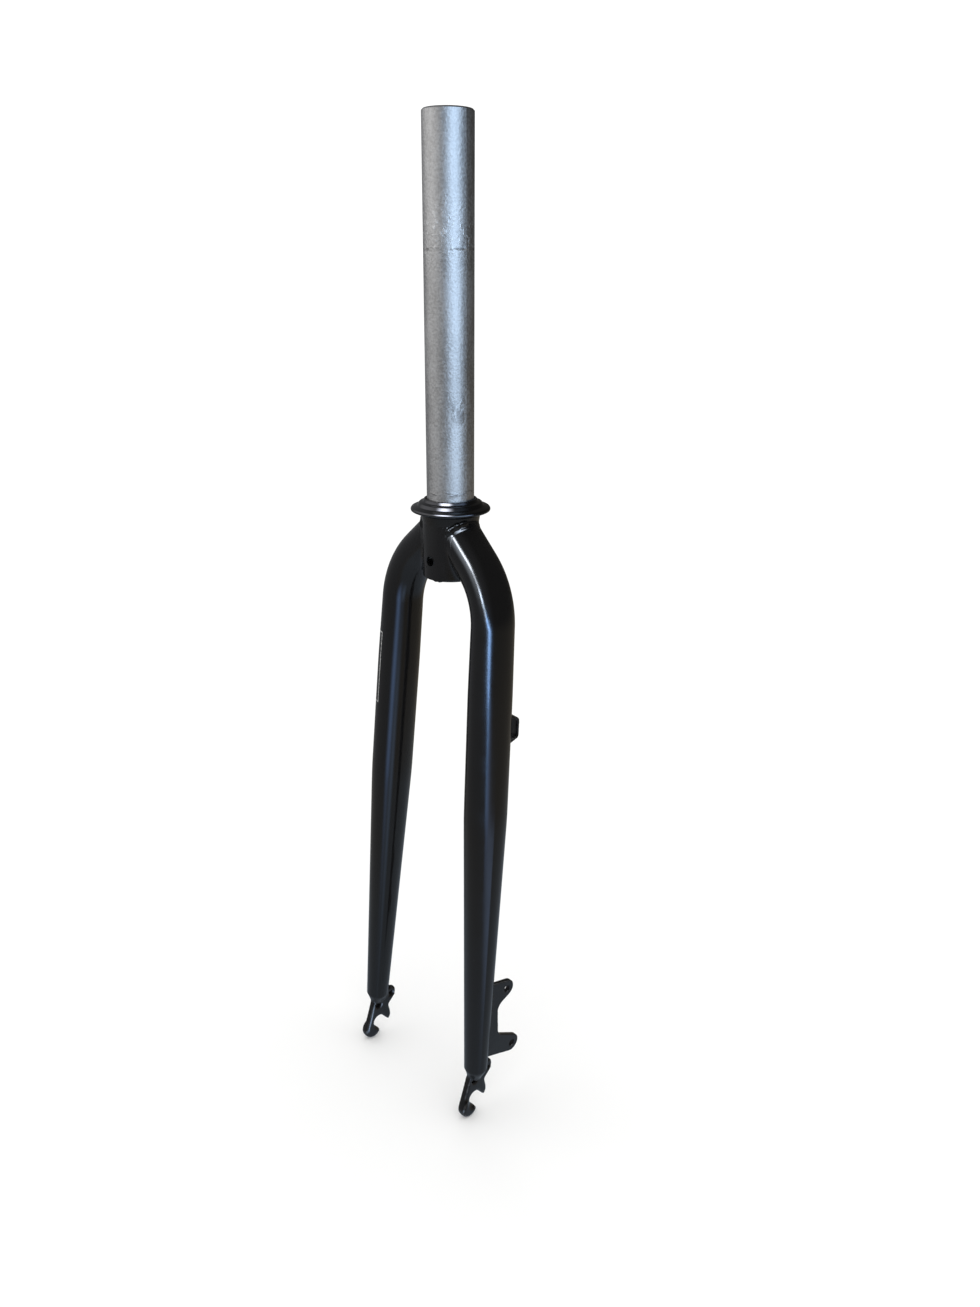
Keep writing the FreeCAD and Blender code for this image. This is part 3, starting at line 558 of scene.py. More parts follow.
def leg_form(work, swell, heights):
    """Closed solid of the left leg, from the steering axis down through some heights."""
    facing = CROWN_WAY.to_track_quat("Z", "Y").to_matrix().to_4x4()
    made = bmesh.ops.create_circle(
        work, segments=96, radius=CROWN_RADIUS + swell, matrix=Matrix.Translation(CROSS) @ facing,
    )
    loop = list({edge for vert in made["verts"] for edge in vert.link_edges})
    grown = bmesh.ops.extrude_edge_only(work, edges=loop)["geom"]
    ring = [part for part in grown if isinstance(part, bmesh.types.BMVert)]
    loop = [part for part in grown if isinstance(part, bmesh.types.BMEdge)]
    bmesh.ops.translate(work, vec=CROWN_WAY * CROWN_RUN, verts=ring)
    middle = CROSS + CROWN_WAY * CROWN_RUN - CROWN_UP * BEND_RADIUS
    grown = bmesh.ops.spin(
        work, geom=ring + loop, cent=middle, axis=PLANE_NORMAL, angle=BEND_TURN, steps=36,
        use_merge=False, use_duplicate=False,
    )["geom_last"]
    here = LEG_TOP
    for height in heights:
        loop = [part for part in grown if isinstance(part, bmesh.types.BMEdge)]
        grown = bmesh.ops.extrude_edge_only(work, edges=loop)["geom"]
        ring = [part for part in grown if isinstance(part, bmesh.types.BMVert)]
        bmesh.ops.translate(work, vec=LEG_UP * (height - here), verts=ring)
        grow = (leg_radius(height) + swell) / (leg_radius(here) + swell)
        about = Matrix.Translation(-(TIP + LEG_UP * height))
        bmesh.ops.scale(work, vec=(grow, grow, grow), space=about, verts=ring)
        here = height
    bmesh.ops.holes_fill(work, edges=[edge for edge in work.edges if edge.is_boundary], sides=0)
    bmesh.ops.recalc_face_normals(work, faces=work.faces)


def to_other_side(work):
    """Mirror a bmesh from the left to the right."""
    bmesh.ops.scale(work, vec=(-1, 1, 1), verts=work.verts)
    bmesh.ops.reverse_faces(work, faces=work.faces)


def painted_leg(name, side, node):
    work = bmesh.new()
    leg_form(work, 0.0, [LEG_TOP * (1 - step / LEG_RINGS) for step in range(1, LEG_RINGS + 1)])
    bore = bmesh.new()
    bmesh.ops.create_cone(
        bore, cap_ends=True, segments=128, radius1=CUT_RADIUS, radius2=CUT_RADIUS,
        depth=CUT_LENGTH, matrix=Matrix.Translation((0, 0, CUT_MIDDLE)),
    )
    bore_mesh = bpy.data.meshes.new("bore")
    bore.to_mesh(bore_mesh)
    bore.free()
    cutter = bpy.data.objects.new("bore", bore_mesh)
    bpy.context.scene.collection.objects.link(cutter)
    mesh = baked(work, "BOOLEAN", operation="DIFFERENCE", solver="EXACT", object=cutter)
    bpy.data.objects.remove(cutter)
    work = bmesh.new()
    work.from_mesh(mesh)
    for edge in work.edges:
        edge.smooth = edge.is_manifold and edge.calc_face_angle() < SHARP
    if side < 0:
        to_other_side(work)
    work.to_mesh(mesh)
    work.free()
    piece = new_piece(name, mesh, satin_black)
    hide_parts(node)
    return piece


left_leg = painted_leg("left_painted_leg", 1, "left_blade")
right_leg = painted_leg("right_painted_leg", -1, "right_blade")

# %% [markdown]
# ## Crown welds
# Each blade is welded to the neck all round. The weld is dressed smooth and flows into both
# tubes, except for a few pools left over the front of the blade's top. A plain shape for the
# neck and the blade goes into the skin as well, so that the weld flows into them. Only the band
# near the seam is kept, as a thin shell that hugs the tubes and sinks into them at its border.

# %% Crown welds
SEAM_STEPS = 72
BAND_TOP, BAND_LOW, BAND_TURN = 5.2 * MM, 10.0 * MM, 1.4
BORDER, BORDER_SINK = 1.6 * MM, 0.3 * MM
SHELL_SWELL = 0.07 * MM
SHELL_WALL = 0.6 * MM
LEG_STUB = 12.0 * MM
CROWN_VOXEL, CROWN_ROUNDS = 0.38 * MM, 3
POOL_TURNS = (-20, -27, -34, -41, -48, -55, -62, -69)
POOL_RADIUS, POOL_LIFT, POOL_FLAT = 1.9 * MM, 0.75 * MM, 0.62
NECK_TOP, NECK_LOW, NECK_EDGE = -10.2 * MM, -47.8 * MM, 0.4 * MM


def crown_weld(name, side):
    work = bmesh.new()
    leg_form(work, SHELL_SWELL, [LEG_TOP - LEG_STUB])
    bmesh.ops.create_cone(
        work, cap_ends=True, segments=96, radius1=NECK_RADIUS + SHELL_SWELL,
        radius2=NECK_RADIUS + SHELL_SWELL, depth=NECK_TOP - NECK_LOW,
        matrix=Matrix.Translation((0, 0, (NECK_TOP + NECK_LOW) / 2)),
    )
    take_solid(work, "left_crown_weld", SHELL_SWELL)
    for step, turn in enumerate(POOL_TURNS):
        point, out = seam_point(math.radians(turn))
        uneven = 1.0 + 0.2 * math.sin(step * 2.4 + 0.5)
        droplet(work, point + out * POOL_LIFT, POOL_RADIUS * uneven, POOL_FLAT, out)
    skin = skin_over(work, CROWN_VOXEL, CROWN_ROUNDS)
    seam, bands = [], []
    for step in range(SEAM_STEPS):
        turn = math.pi * (2 * step / SEAM_STEPS - 1)
        seam.append(seam_point(turn)[0])
        under = max(0.0, abs(turn) - BAND_TURN) / (math.pi - BAND_TURN)
        bands.append(BAND_TOP + (BAND_LOW - BAND_TOP) * under)
    finder = KDTree(SEAM_STEPS)
    for step, point in enumerate(seam):
        finder.insert(point, step)
    finder.balance()
    fresh = bmesh.new()
    fresh.from_mesh(skin)
    fresh.normal_update()
    far = []
    for face in fresh.faces:
        middle = face.calc_center_median()
        _, step, off = finder.find(middle)
        if off > bands[step] or middle.z < NECK_LOW + NECK_EDGE:
            far.append(face)
    bmesh.ops.delete(fresh, geom=far, context="FACES")
    for vert in fresh.verts:
        _, step, off = finder.find(vert.co)
        share = min(1.0, max(0.0, (off - bands[step] + BORDER) / BORDER))
        vert.co -= vert.normal * BORDER_SINK * share * share
    bmesh.ops.solidify(fresh, geom=fresh.faces[:], thickness=SHELL_WALL)
    if side < 0:
        to_other_side(fresh)
    fresh.to_mesh(skin)
    fresh.free()
    piece = new_piece(name, skin, satin_black)
    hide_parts("left_crown_weld" if side > 0 else "right_crown_weld")
    return piece


left_bead = crown_weld("left_crown_weld_bead", 1)
right_bead = crown_weld("right_crown_weld_bead", -1)

# %% [markdown]
# ## Blade ends and dropouts
# Each blade end is closed over its dropout with weld and dressed smooth, and the plate's edges
# are rounded, most of all on the hook. The plate, the weld and a short sleeve of the blade get
# one skin here, so no seam shows where they meet. The skin is then smoothed further in two
# places, and the hook is swelled a little, because smoothing thins it.

# %% Blade ends and dropouts
SLEEVE, SLEEVE_OVER, SLEEVE_UNDER = 9.0 * MM, 0.05 * MM, 0.25 * MM
WELD_SWELL = 0.12 * MM
VENT = Vector((0, -31.5 * MM, -393.6 * MM))
EYELET = Vector((0, -19.0 * MM, -389.5 * MM))
VENT_RADIUS, EYELET_RADIUS, END_COAT = 3.5 * MM, 2.5 * MM, 0.9 * MM
END_VOXEL, END_ROUNDS = 0.33 * MM, 30
CLOSURE_LOW, CLOSURE_TOP, CLOSURE_ROUNDS = -7.5 * MM, 2.0 * MM, 130
HOOK_TOP, HOOK_RUN, HOOK_SWELL = -392.0 * MM, 14.0 * MM, 0.2 * MM
HOOK_STEPS, HOOK_ROUNDS = 14, 5
HIGHLIGHT_ROUNDS, HIGHLIGHT_FROM, HIGHLIGHT_SPAN = 8, 0.025, 0.045


def mark_edges(work):
    """Store at each vertex how far it stands out from its neighbours, from 0 to 1, for a painted
    highlight.
    """
    work.normal_update()
    work.verts.index_update()
    around = [[edge.other_vert(vert) for edge in vert.link_edges] for vert in work.verts]
    outs = []
    for vert, others in zip(work.verts, around):
        drops = [(vert.co - other.co).normalized().dot(vert.normal) for other in others]
        outs.append(sum(drops) / len(drops))
    for _ in range(HIGHLIGHT_ROUNDS):
        outs = [
            (out + sum(outs[other.index] for other in others) / len(others)) / 2
            for out, others in zip(outs, around)
        ]
    highlight_layer = work.verts.layers.float.new("edge_highlight_share")
    for vert, out in zip(work.verts, outs):
        vert[highlight_layer] = min(1.0, max(0.0, (out - HIGHLIGHT_FROM) / HIGHLIGHT_SPAN))


def blade_end(name, side, plate, weld):
    work = bmesh.new()
    take_solid(work, plate)
    narrow_hole(work, VENT, VENT_RADIUS, END_COAT)
    narrow_hole(work, EYELET, EYELET_RADIUS, END_COAT)
    take_solid(work, weld, WELD_SWELL)
    up = across(LEG_UP, side)
    middle = across(TIP, side) + up * (SLEEVE / 2)
    facing = up.to_track_quat("Z", "Y").to_matrix().to_4x4()
    bmesh.ops.create_cone(
        work, cap_ends=True, segments=64, radius1=TIP_RADIUS + SLEEVE_OVER,
        radius2=TIP_RADIUS + SLEEVE * TAPER - SLEEVE_UNDER, depth=SLEEVE,
        matrix=Matrix.Translation(middle) @ facing,
    )
    skin = skin_over(work, END_VOXEL, END_ROUNDS)
    fresh = bmesh.new()
    fresh.from_mesh(skin)
    tip = across(TIP, side)
    closure = [v for v in fresh.verts if CLOSURE_LOW < (v.co - tip).dot(up) < CLOSURE_TOP]
    groups = [(closure, CLOSURE_ROUNDS)]
    for step in range(HOOK_STEPS):
        level = HOOK_TOP - HOOK_RUN * step / HOOK_STEPS
        groups.append(([v for v in fresh.verts if v.co.z < level], HOOK_ROUNDS))
    for verts, rounds in groups:
        soften(fresh, verts, rounds)
    fresh.normal_update()
    for vert in groups[1][0]:
        share = min(1.0, max(0.0, (HOOK_TOP - vert.co.z) / HOOK_RUN))
        vert.co = inside_box(vert.co + vert.normal * HOOK_SWELL * share)
    # The edges that stand out get a painted highlight: a lighter grey in the paint's colour.
    mark_edges(fresh)
    fresh.to_mesh(skin)
    fresh.free()
    piece = new_piece(name, skin, highlit_edge_black)
    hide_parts(plate, weld)


blade_end("left_blade_end", 1, "left_dropout", "left_dropout_weld")
blade_end("right_blade_end", -1, "right_dropout", "right_dropout_weld")

# %% [markdown]
# ## Brake mount
# The mount is a stamped plate with softened edges. Its root is pushed a little into the leg
# before it gets its skin, because rounding would otherwise open a gap there. Paint narrows its
# two bolt holes.

# %% Brake mount
MOUNT_VOXEL = 0.3 * MM
ROOT_SINK, ROOT_REACH = 1.6 * MM, 0.1 * MM
BOLT_TILT = math.radians(6.4)
BOLT_RADIUS, BOLT_COAT = 3.1 * MM, 0.6 * MM
BOLT_HALF = Vector((0, -math.sin(BOLT_TILT), math.cos(BOLT_TILT))) * 25.5 * MM
BOLT_MIDDLE = Vector((0, 1.9 * MM, -358.8 * MM))
BOLT_HOLES = (BOLT_MIDDLE + BOLT_HALF, BOLT_MIDDLE - BOLT_HALF)


def beside_leg(point):
    """Nearest place on the axis of the left leg's taper, and the distance from the leg's skin."""
    height = (point - TIP).dot(LEG_UP)
    axis = TIP + LEG_UP * height
    return axis, (point - axis).length - (TIP_RADIUS + height * TAPER)


work = bmesh.new()
take_solid(work, "disc_mount")
for vert in work.verts:
    axis, off = beside_leg(vert.co)
    if off < ROOT_REACH:
        vert.co += (axis - vert.co).normalized() * ROOT_SINK
for middle in BOLT_HOLES:
    narrow_hole(work, middle, BOLT_RADIUS, BOLT_COAT)
mount_skin = skin_over(work, MOUNT_VOXEL, 3)
brake_mount = new_piece("brake_mount", mount_skin, satin_black)
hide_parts("disc_mount")

# %% [markdown]
# ## Brake mount welds
# The weld on both sides of the mount is a row of small pools along the leg. They vary a little
# in size, as pools laid by hand do, and one skin runs them together.

# %% Brake mount welds
PLATE_INNER, PLATE_OUTER = 51.8 * MM, 55.0 * MM
BEAD_START, BEAD_STOP, BEAD_STEP = 1.6 * MM, 1.4 * MM, 1.9 * MM
BEAD_OFF, BEAD_FLAT, BEAD_VOXEL = 0.1 * MM, 0.8, 0.22 * MM


def mount_weld(name, node, x, out):
    """Row of small weld pools in the corner between the plate and the leg."""
    low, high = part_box(node)
    work = bmesh.new()
    step, height = 0, low.z + BEAD_START
    while height < high.z - BEAD_STOP:
        axis = TIP + LEG_UP * ((height - TIP.z) / LEG_UP.z)
        radius = TIP_RADIUS + (height - TIP.z) * TAPER
        back = axis.y + math.sqrt(radius ** 2 - (x - axis.x) ** 2)
        size = (1.55 + 0.22 * math.sin(step * 1.9) + 0.12 * math.sin(step * 4.3)) * MM
        place = Vector((x + out * BEAD_OFF, back + BEAD_OFF, height))
        droplet(work, place, size, BEAD_FLAT, LEG_UP)
        step += 1
        height += BEAD_STEP
    piece = new_piece(name, skin_over(work, BEAD_VOXEL, 2), painted_weld)
    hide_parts(node)


mount_weld("inner_mount_bead", "inner_mount_weld", PLATE_INNER, -1)
mount_weld("outer_mount_bead", "outer_mount_weld", PLATE_OUTER, 1)

# %% [markdown]
# ## Hose guide
# The guide is a strip of sheet bent into a bridge and tacked to the leg at both feet. Its skin
# rounds the cut edges and runs the tacks into the strip.

# %% Hose guide
GUIDE_VOXEL = 0.22 * MM
work = bmesh.new()
take_solid(work, "hose_guide")
guide_skin = skin_over(work, GUIDE_VOXEL, 3)
guide = new_piece("painted_hose_guide", guide_skin, satin_black)
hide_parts("hose_guide")

# %% [markdown]
# ## Crown race
# The race is turned on a lathe, so it is made the same way here: half of its section is drawn
# once and spun round the steering axis, and then its rings are rounded.

# %% Crown race
RACE_SECTION = (
    (15.0, -0.15), (15.9, -0.15), (16.7, -1.9), (19.0, -2.4), (20.2, -4.5), (23.6, -5.3),
    (24.25, -6.3), (24.1, -7.3), (23.2, -7.75), (18.6, -7.75), (18.1, -9.4), (15.0, -9.4),
)
RING_ANGLE, RING_ROUND = math.radians(22), 0.32 * MM
work = bmesh.new()
section = [work.verts.new((r * MM, 0, z * MM)) for r, z in RACE_SECTION]
rim = [work.edges.new((section[k], section[(k + 1) % len(section)])) for k in range(len(section))]
bmesh.ops.spin(
    work, geom=section + rim, cent=(0, 0, 0), axis=(0, 0, 1), angle=math.tau, steps=144,
    use_merge=True, use_duplicate=False,
)
bmesh.ops.remove_doubles(work, verts=work.verts, dist=1e-7)
bmesh.ops.recalc_face_normals(work, faces=work.faces)
rings = [
    edge for edge in work.edges
    if edge.is_manifold and edge.calc_face_angle() > RING_ANGLE
    and abs(edge.verts[0].co.z - edge.verts[1].co.z) < 1e-7
]
bmesh.ops.bevel(
    work, geom=rings, offset=RING_ROUND, offset_type="OFFSET", segments=4, profile=0.5,
    affect="EDGES", material=-1, clamp_overlap=True,
)
race_mesh = bpy.data.meshes.new("turned_race")
work.to_mesh(race_mesh)
work.free()
race = new_piece("turned_race", race_mesh, race_black)
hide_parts("crown_race")

# %% [markdown]
# ## Marks left by the making
# Welding throws small drops on the neck and leaves a burr under its edge. They are small, but
# they catch the light. Each drop is a flattened ball, and the burr is a row of balls under one
# skin.

# %% Spatter and burr
SPATTER = (
    (1.4, -44.1, 0.42), (6.5, -44.5, 0.5), (3.6, -45.6, 0.3), (-3.8, -41.0, 0.3),
    (8.6, -30.0, 0.32),
)
SPATTER_FLAT = 0.7
BURR = ((2.6, 1.0), (3.8, 1.3), (5.0, 1.1), (6.2, 1.3), (7.3, 1.0))
BURR_RING, BURR_HEIGHT, BURR_VOXEL = 16.4 * MM, -47.9 * MM, 0.2 * MM
work = bmesh.new()
for x, z, radius in SPATTER:
    outward = Vector((x * MM, -math.sqrt(NECK_RADIUS ** 2 - (x * MM) ** 2), 0))
    droplet(work, outward + Vector((0, 0, z * MM)), radius * MM, SPATTER_FLAT, outward)
spatter_mesh = bpy.data.meshes.new("weld_spatter")
work.to_mesh(spatter_mesh)
work.free()
new_piece("weld_spatter", spatter_mesh, painted_weld)
work = bmesh.new()
for x, radius in BURR:
    place = Vector((x * MM, -math.sqrt(BURR_RING ** 2 - (x * MM) ** 2), BURR_HEIGHT))
    droplet(work, place, radius * MM)
new_piece("neck_burr", skin_over(work, BURR_VOXEL, 3), painted_weld)

# %% [markdown]
# ## Rim of the crown hole
# The hole drilled through the front of the neck keeps a thin raised rim. A small circle is spun
# into a ring, turned to face the front and bent on to the round neck.

# %% Rim of the crown hole
HOLE_HEIGHT = -36.7 * MM
RIM_RADIUS, RIM_WIRE = 3.25 * MM, 0.28 * MM
work = bmesh.new()
upright = Matrix.Translation((RIM_RADIUS, 0, 0)) @ Matrix.Rotation(math.pi / 2, 4, "X")
wire = bmesh.ops.create_circle(work, segments=12, radius=RIM_WIRE, matrix=upright)["verts"]
wire_edges = list({edge for vert in wire for edge in vert.link_edges})
bmesh.ops.spin(
    work, geom=wire + wire_edges, cent=(0, 0, 0), axis=(0, 0, 1), angle=math.tau, steps=48,
    use_merge=True, use_duplicate=False,
)
bmesh.ops.remove_doubles(work, verts=work.verts, dist=1e-7)
facing_front = Matrix.Rotation(math.pi / 2, 3, "X")
bmesh.ops.rotate(work, cent=(0, 0, 0), matrix=facing_front, verts=work.verts)
for vert in work.verts:
    vert.co += Vector((0, -math.sqrt(NECK_RADIUS ** 2 - vert.co.x ** 2), HOLE_HEIGHT))
bmesh.ops.recalc_face_normals(work, faces=work.faces)
rim_mesh = bpy.data.meshes.new("crown_hole_rim")
work.to_mesh(rim_mesh)
work.free()
new_piece("crown_hole_rim", rim_mesh, satin_black)

# %% [markdown]
# ## Plain transfer outline
# A thin white outline lies on the outer side of the right leg, an empty frame with nothing in
# it. Four narrow strips are laid round the leg and pulled on to its surface.

# %% Plain transfer outline
TRANSFER_WORN, TRANSFER_PALE = (0.30, 0.30, 0.30), (0.62, 0.62, 0.61)
transfer_white, tree, shader = new_material("transfer_white")
place = object_place(tree)
worn = ramp(tree, noise(tree, place, 900.0, 3.0, 0.6), 0.35, 0.6)
faded = blend_colour(tree, worn, TRANSFER_WORN, TRANSFER_PALE)
join(tree, faded, shader.inputs["Base Color"])
shader.inputs["Roughness"].default_value = 0.45

FRAME_TOP, FRAME_LOW = -93.5 * MM, -143.0 * MM
FRAME_FRONT, FRAME_BACK = math.radians(12.0), math.radians(96.0)
LINE, OUTLINE_RADIUS = 0.55 * MM, 13.9 * MM
FILM_LIFT, FILM = 0.05 * MM, 0.04 * MM


def on_right_leg(turn, height):
    """Point just outside the right leg, by a turn from its front towards its outer side."""
    axis = across(TIP, -1) + across(LEG_UP, -1) * ((height - TIP.z) / LEG_UP.z)
    return axis + Vector((-math.sin(turn), -math.cos(turn), 0)) * OUTLINE_RADIUS


def strip(work, turns, heights, steps):
    """Narrow strip between two turns and two heights, cut into steps along its length."""
    made = bmesh.ops.create_grid(work, x_segments=steps[0], y_segments=steps[1], size=0.5)["verts"]
    for vert in made:
        u, v = vert.co.x + 0.5, vert.co.y + 0.5
        vert.co = on_right_leg(
            turns[0] + (turns[1] - turns[0]) * u, heights[0] + (heights[1] - heights[0]) * v
        )


line_turn = LINE / OUTLINE_RADIUS
work = bmesh.new()
strip(work, (FRAME_FRONT, FRAME_FRONT + line_turn), (FRAME_LOW, FRAME_TOP), (1, 30))
strip(work, (FRAME_BACK - line_turn, FRAME_BACK), (FRAME_LOW, FRAME_TOP), (1, 30))
strip(work, (FRAME_FRONT, FRAME_BACK), (FRAME_TOP - LINE, FRAME_TOP), (40, 1))
strip(work, (FRAME_FRONT, FRAME_BACK), (FRAME_LOW, FRAME_LOW + LINE), (40, 1))
frame_mesh = baked(
    work, "SHRINKWRAP", target=right_leg, wrap_method="NEAREST_SURFACEPOINT",
    wrap_mode="ABOVE_SURFACE", offset=FILM_LIFT,
)
work = bmesh.new()
work.from_mesh(frame_mesh)
bmesh.ops.solidify(work, geom=work.faces[:], thickness=FILM)
bmesh.ops.recalc_face_normals(work, faces=work.faces)
work.to_mesh(frame_mesh)
work.free()
new_piece("transfer_outline", frame_mesh, transfer_white)

# %% [markdown]
# ## Floor
# The floor is a plain pale plane under the lowest point of the fork. It is left out of mirrored
# light, so that the legs do not turn white from below, and it holds back no light.

# %% Floor
FLOOR_REACH = 30.0
FLOOR_WHITE = (0.95, 0.95, 0.945)
floor_mesh = bpy.data.meshes.new("floor")
work = bmesh.new()
bmesh.ops.create_grid(work, x_segments=1, y_segments=1, size=FLOOR_REACH)
bmesh.ops.translate(work, verts=work.verts, vec=(0, 0, cad_low.z))
work.to_mesh(floor_mesh)
work.free()
floor = bpy.data.objects.new("floor", floor_mesh)
bpy.context.scene.collection.objects.link(floor)
floor.visible_glossy = False
floor.visible_shadow = False
floor_white, _, shader = new_material("floor_white")
shader.inputs["Base Color"].default_value = (*FLOOR_WHITE, 1.0)
shader.inputs["Roughness"].default_value = 0.9
shader.inputs["Specular IOR Level"].default_value = 0.0
floor_mesh.materials.append(floor_white)

# %% [markdown]
# ## Studio
# The light is a soft white dome. What the glossy paint and the steel mirror is a darker room
# instead: almost black above, warm lower down, cool far below, and grey on the left.

# %% Studio
DOME = 1.12
UPPER_DARK, LOWER_WARM = (0.055, 0.052, 0.048), (0.23, 0.205, 0.165)
FLOOR_COOL, LEFT_GREY = (0.275, 0.32, 0.375), (0.20, 0.205, 0.215)
LEFT_WAY = Vector((-0.71, -0.70, 0.0)).normalized()

world = bpy.data.worlds.new("studio")
bpy.context.scene.world = world
world.use_nodes = True
world.cycles.sampling_method = "NONE"
tree = world.node_tree
tree.nodes.clear()
way = tree.nodes.new("ShaderNodeTexCoord").outputs["Generated"]


def facing(direction):
    """How far the view direction points along a fixed one, from -1 to 1."""
    node = tree.nodes.new("ShaderNodeVectorMath")
    node.operation = "DOT_PRODUCT"
    tree.links.new(way, node.inputs[0])
    node.inputs[1].default_value = direction
    return node.outputs["Value"]


height = facing(Vector((0, 0, 1)))
lower = ramp(tree, height, -0.35, 0.02, 1.0, 0.0)
room = blend_colour(tree, lower, UPPER_DARK, LOWER_WARM)
room = blend_colour(tree, ramp(tree, height, -0.62, -0.40, 1.0, 0.0), room, FLOOR_COOL)
left_wall = ramp(tree, facing(LEFT_WAY), -0.15, 0.45)
above = ramp(tree, height, -0.55, -0.35)
room = blend_colour(tree, math_node(tree, "MULTIPLY", left_wall, above), room, LEFT_GREY)
rays = tree.nodes.new("ShaderNodeLightPath")
dome = tree.nodes.new("ShaderNodeBackground")
dome.inputs["Color"].default_value = (1.0, 1.0, 1.0, 1.0)
dome.inputs["Strength"].default_value = DOME
mirrored_room = tree.nodes.new("ShaderNodeBackground")
join(tree, room, mirrored_room.inputs["Color"])
choice = tree.nodes.new("ShaderNodeMixShader")
join(tree, rays.outputs["Is Glossy Ray"], choice.inputs["Fac"])
join(tree, dome.outputs[0], choice.inputs[1])
join(tree, mirrored_room.outputs[0], choice.inputs[2])
out = tree.nodes.new("ShaderNodeOutputWorld")
join(tree, choice.outputs[0], out.inputs["Surface"])
bpy.context.scene.view_settings.view_transform = "Standard"
print("studio ready")

# %% [markdown]
# ## Lamps that make the reflections
# A photographer shades off each lamp so that it reaches only what it is meant for. A slanting
# row of narrow lamps draws the highlight down the painted legs, and a wide cool one with a pale
# wall beside it gives the steel its bright band. Each lamp lists what it lights, and it shows
# only in reflections.

# %% Lamps
LAMP_FAR = 6.0
WATTS = 4  # per square metre of a lamp whose brightness is 1
STEEL_MIDDLE = Vector((0, 0, 0.1))
CROWN_MIDDLE = Vector((0, 0, -0.12))
FACING_CAMERA = math.atan2(EYE.y, EYE.x)


def towards(turn, rise):
    """Direction from the fork, by a turn to the right of the camera and a rise, in degrees."""
    flat, level = FACING_CAMERA + math.radians(turn), math.cos(math.radians(rise))
    return Vector((level * math.cos(flat), level * math.sin(flat), math.sin(math.radians(rise))))


def soft_edges(data, ends):
    """Fade a lamp towards its long sides, and towards its ends as well if asked."""
    data.use_nodes = True
    tree = data.node_tree
    split = tree.nodes.new("ShaderNodeSeparateXYZ")
    join(tree, tree.nodes.new("ShaderNodeNewGeometry").outputs["Parametric"], split.inputs[0])
    total = None
    for axis in ("X", "Y") if ends else ("X",):
        off = math_node(tree, "ABSOLUTE", math_node(tree, "SUBTRACT", split.outputs[axis], 0.5))
        fade = ramp(tree, off, 0.0, 0.5, 1.0, 0.0)
        total = fade if total is None else math_node(tree, "MULTIPLY", total, fade)
    join(tree, total, tree.nodes["Emission"].inputs["Strength"])


def lamp(name, way, along, wide, long, colour, middle, lit, ends):
    """Rectangle of a width and a length, seen from the fork as two angles."""
    data = bpy.data.lights.new(name, "AREA")
    data.shape = "RECTANGLE"
    data.size, data.size_y = 2 * LAMP_FAR * math.tan(wide / 2), 2 * LAMP_FAR * math.tan(long / 2)
    bright = max(colour)
    data.color = [share / bright for share in colour]
    data.energy = WATTS * bright * data.size * data.size_y
    soft_edges(data, ends)
    piece = bpy.data.objects.new(name, data)
    up = (along - way * along.dot(way)).normalized()
    turn = Matrix((up.cross(way), up, way)).transposed()
    piece.matrix_world = Matrix.Translation(middle + way * LAMP_FAR) @ turn.to_4x4()
    bpy.context.scene.collection.objects.link(piece)
    piece.visible_camera = False
    piece.visible_diffuse = False
    group = bpy.data.collections.new(name + "_lit")
    for thing in lit:
        group.objects.link(thing)
    piece.light_linking.receiver_collection = group


STRIP = (
    ((-62, 28), (-47, 9), 0.17, (12.0, 13.0, 14.5)),
    ((-47, 9), (-34, 0), 0.14, (12.0, 15.0, 19.0)),
    ((-34, 0), (-17, -8), 0.14, (11.0, 19.0, 34.0)),
    ((-17, -8), (-9, -12), 0.16, (6.0, 11.0, 21.0)),
    ((-9, -12), (-6, -14.5), 0.20, (2.0, 3.6, 7.0)),
    ((-6, -14.5), (-3, -17.5), 0.24, (1.0, 2.0, 3.9)),
    ((-3, -17.5), (1, -20), 0.27, (0.8, 1.4, 2.7)),
    ((1, -20), (10, -24.5), 0.32, (0.6, 0.95, 1.8)),
    ((10, -24.5), (46, -33), 0.34, (0.45, 0.65, 1.1)),
)
FAR_STRIP = (
    ((-36, -6), (-8, -24), 0.80, (0.7, 1.2, 2.3)),
    ((-16, -19), (12, -32), 0.70, (0.35, 0.55, 0.9)),
)
UPPER_STRIPS, SEAM_STRIPS = 4, 2
UPRIGHT = Vector((0, 0, 1))
steel = [nodes["steerer_tube"], race]
end_pieces = [piece for piece in pieces if "blade_end" in piece.name]
mount_things = [piece for piece in pieces if "mount" in piece.name or "guide" in piece.name]
others = [left_leg, right_leg, left_bead, right_bead, race] + end_pieces
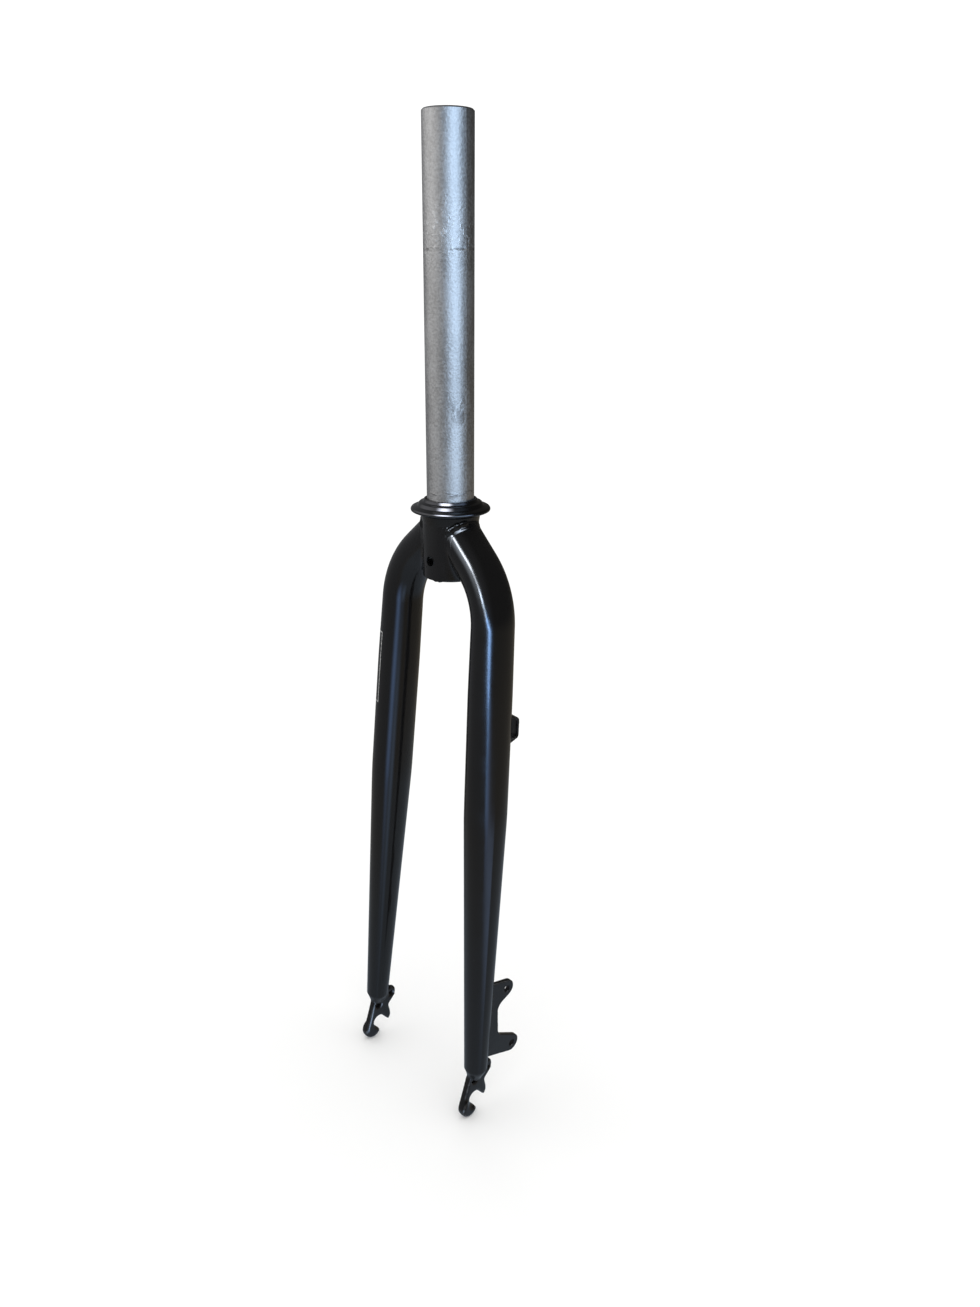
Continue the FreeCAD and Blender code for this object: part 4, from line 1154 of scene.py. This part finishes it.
fittings = [piece for piece in pieces if piece not in others]


def strip_lamp(name, row, lit, ends):
    start, stop, wide, colour = row
    first, last = towards(*start), towards(*stop)
    lamp(
        name, (first + last).normalized(), last - first, wide, first.angle(last), colour,
        CROWN_MIDDLE, lit, ends,
    )


for step, row in enumerate(STRIP):
    lit = [left_leg] if step < UPPER_STRIPS else [left_leg] + fittings
    strip_lamp("strip_%d" % step, row, lit + [left_bead] if step < SEAM_STRIPS else lit, False)
for step, row in enumerate(FAR_STRIP):
    strip_lamp("far_strip_%d" % step, row, [right_leg], True)
SOFT_LAMPS = (
    ("crown_spot", (-58, 25), 13, 16, (26.0, 28.0, 31.0), CROWN_MIDDLE, [left_leg, left_bead]),
    ("bend_spot", (-46, 9), 12, 14, (20.0, 23.0, 28.0), CROWN_MIDDLE, [left_leg]),
    ("soft_window", (-66, 16), 34, 44, (2.2, 2.4, 2.7), CROWN_MIDDLE, [left_leg, left_bead]),
    ("bead_light", (-8, 58), 70, 60, (13.0, 15.0, 18.0), CROWN_MIDDLE, [left_bead]),
    ("mount_light", (80, 36), 100, 56, (5.0, 5.2, 5.5), CROWN_MIDDLE, mount_things),
    ("lip_light", (48, -30), 40, 34, (5.0, 6.5, 9.0), CROWN_MIDDLE, end_pieces[1:]),
    ("end_light", (-12, -34), 80, 44, (1.3, 1.7, 2.3), CROWN_MIDDLE, end_pieces),
    ("race_light", (-25, 44), 56, 40, (20.0, 21.0, 23.0), CROWN_MIDDLE, [race]),
    ("race_side", (55, 24), 40, 40, (1.6, 2.2, 3.4), CROWN_MIDDLE, [race]),
    ("cool_window", (26, 14), 92, 84, (1.35, 1.8, 2.4), STEEL_MIDDLE, steel),
    ("pale_wall", (-82, 22), 120, 84, (0.72, 0.715, 0.71), STEEL_MIDDLE, steel),
)
for name, place, wide, tall, colour, middle, lit in SOFT_LAMPS:
    sides = math.radians(wide), math.radians(tall)
    lamp(name, towards(*place), UPRIGHT, *sides, colour, middle, lit, True)
print("lamps ready")
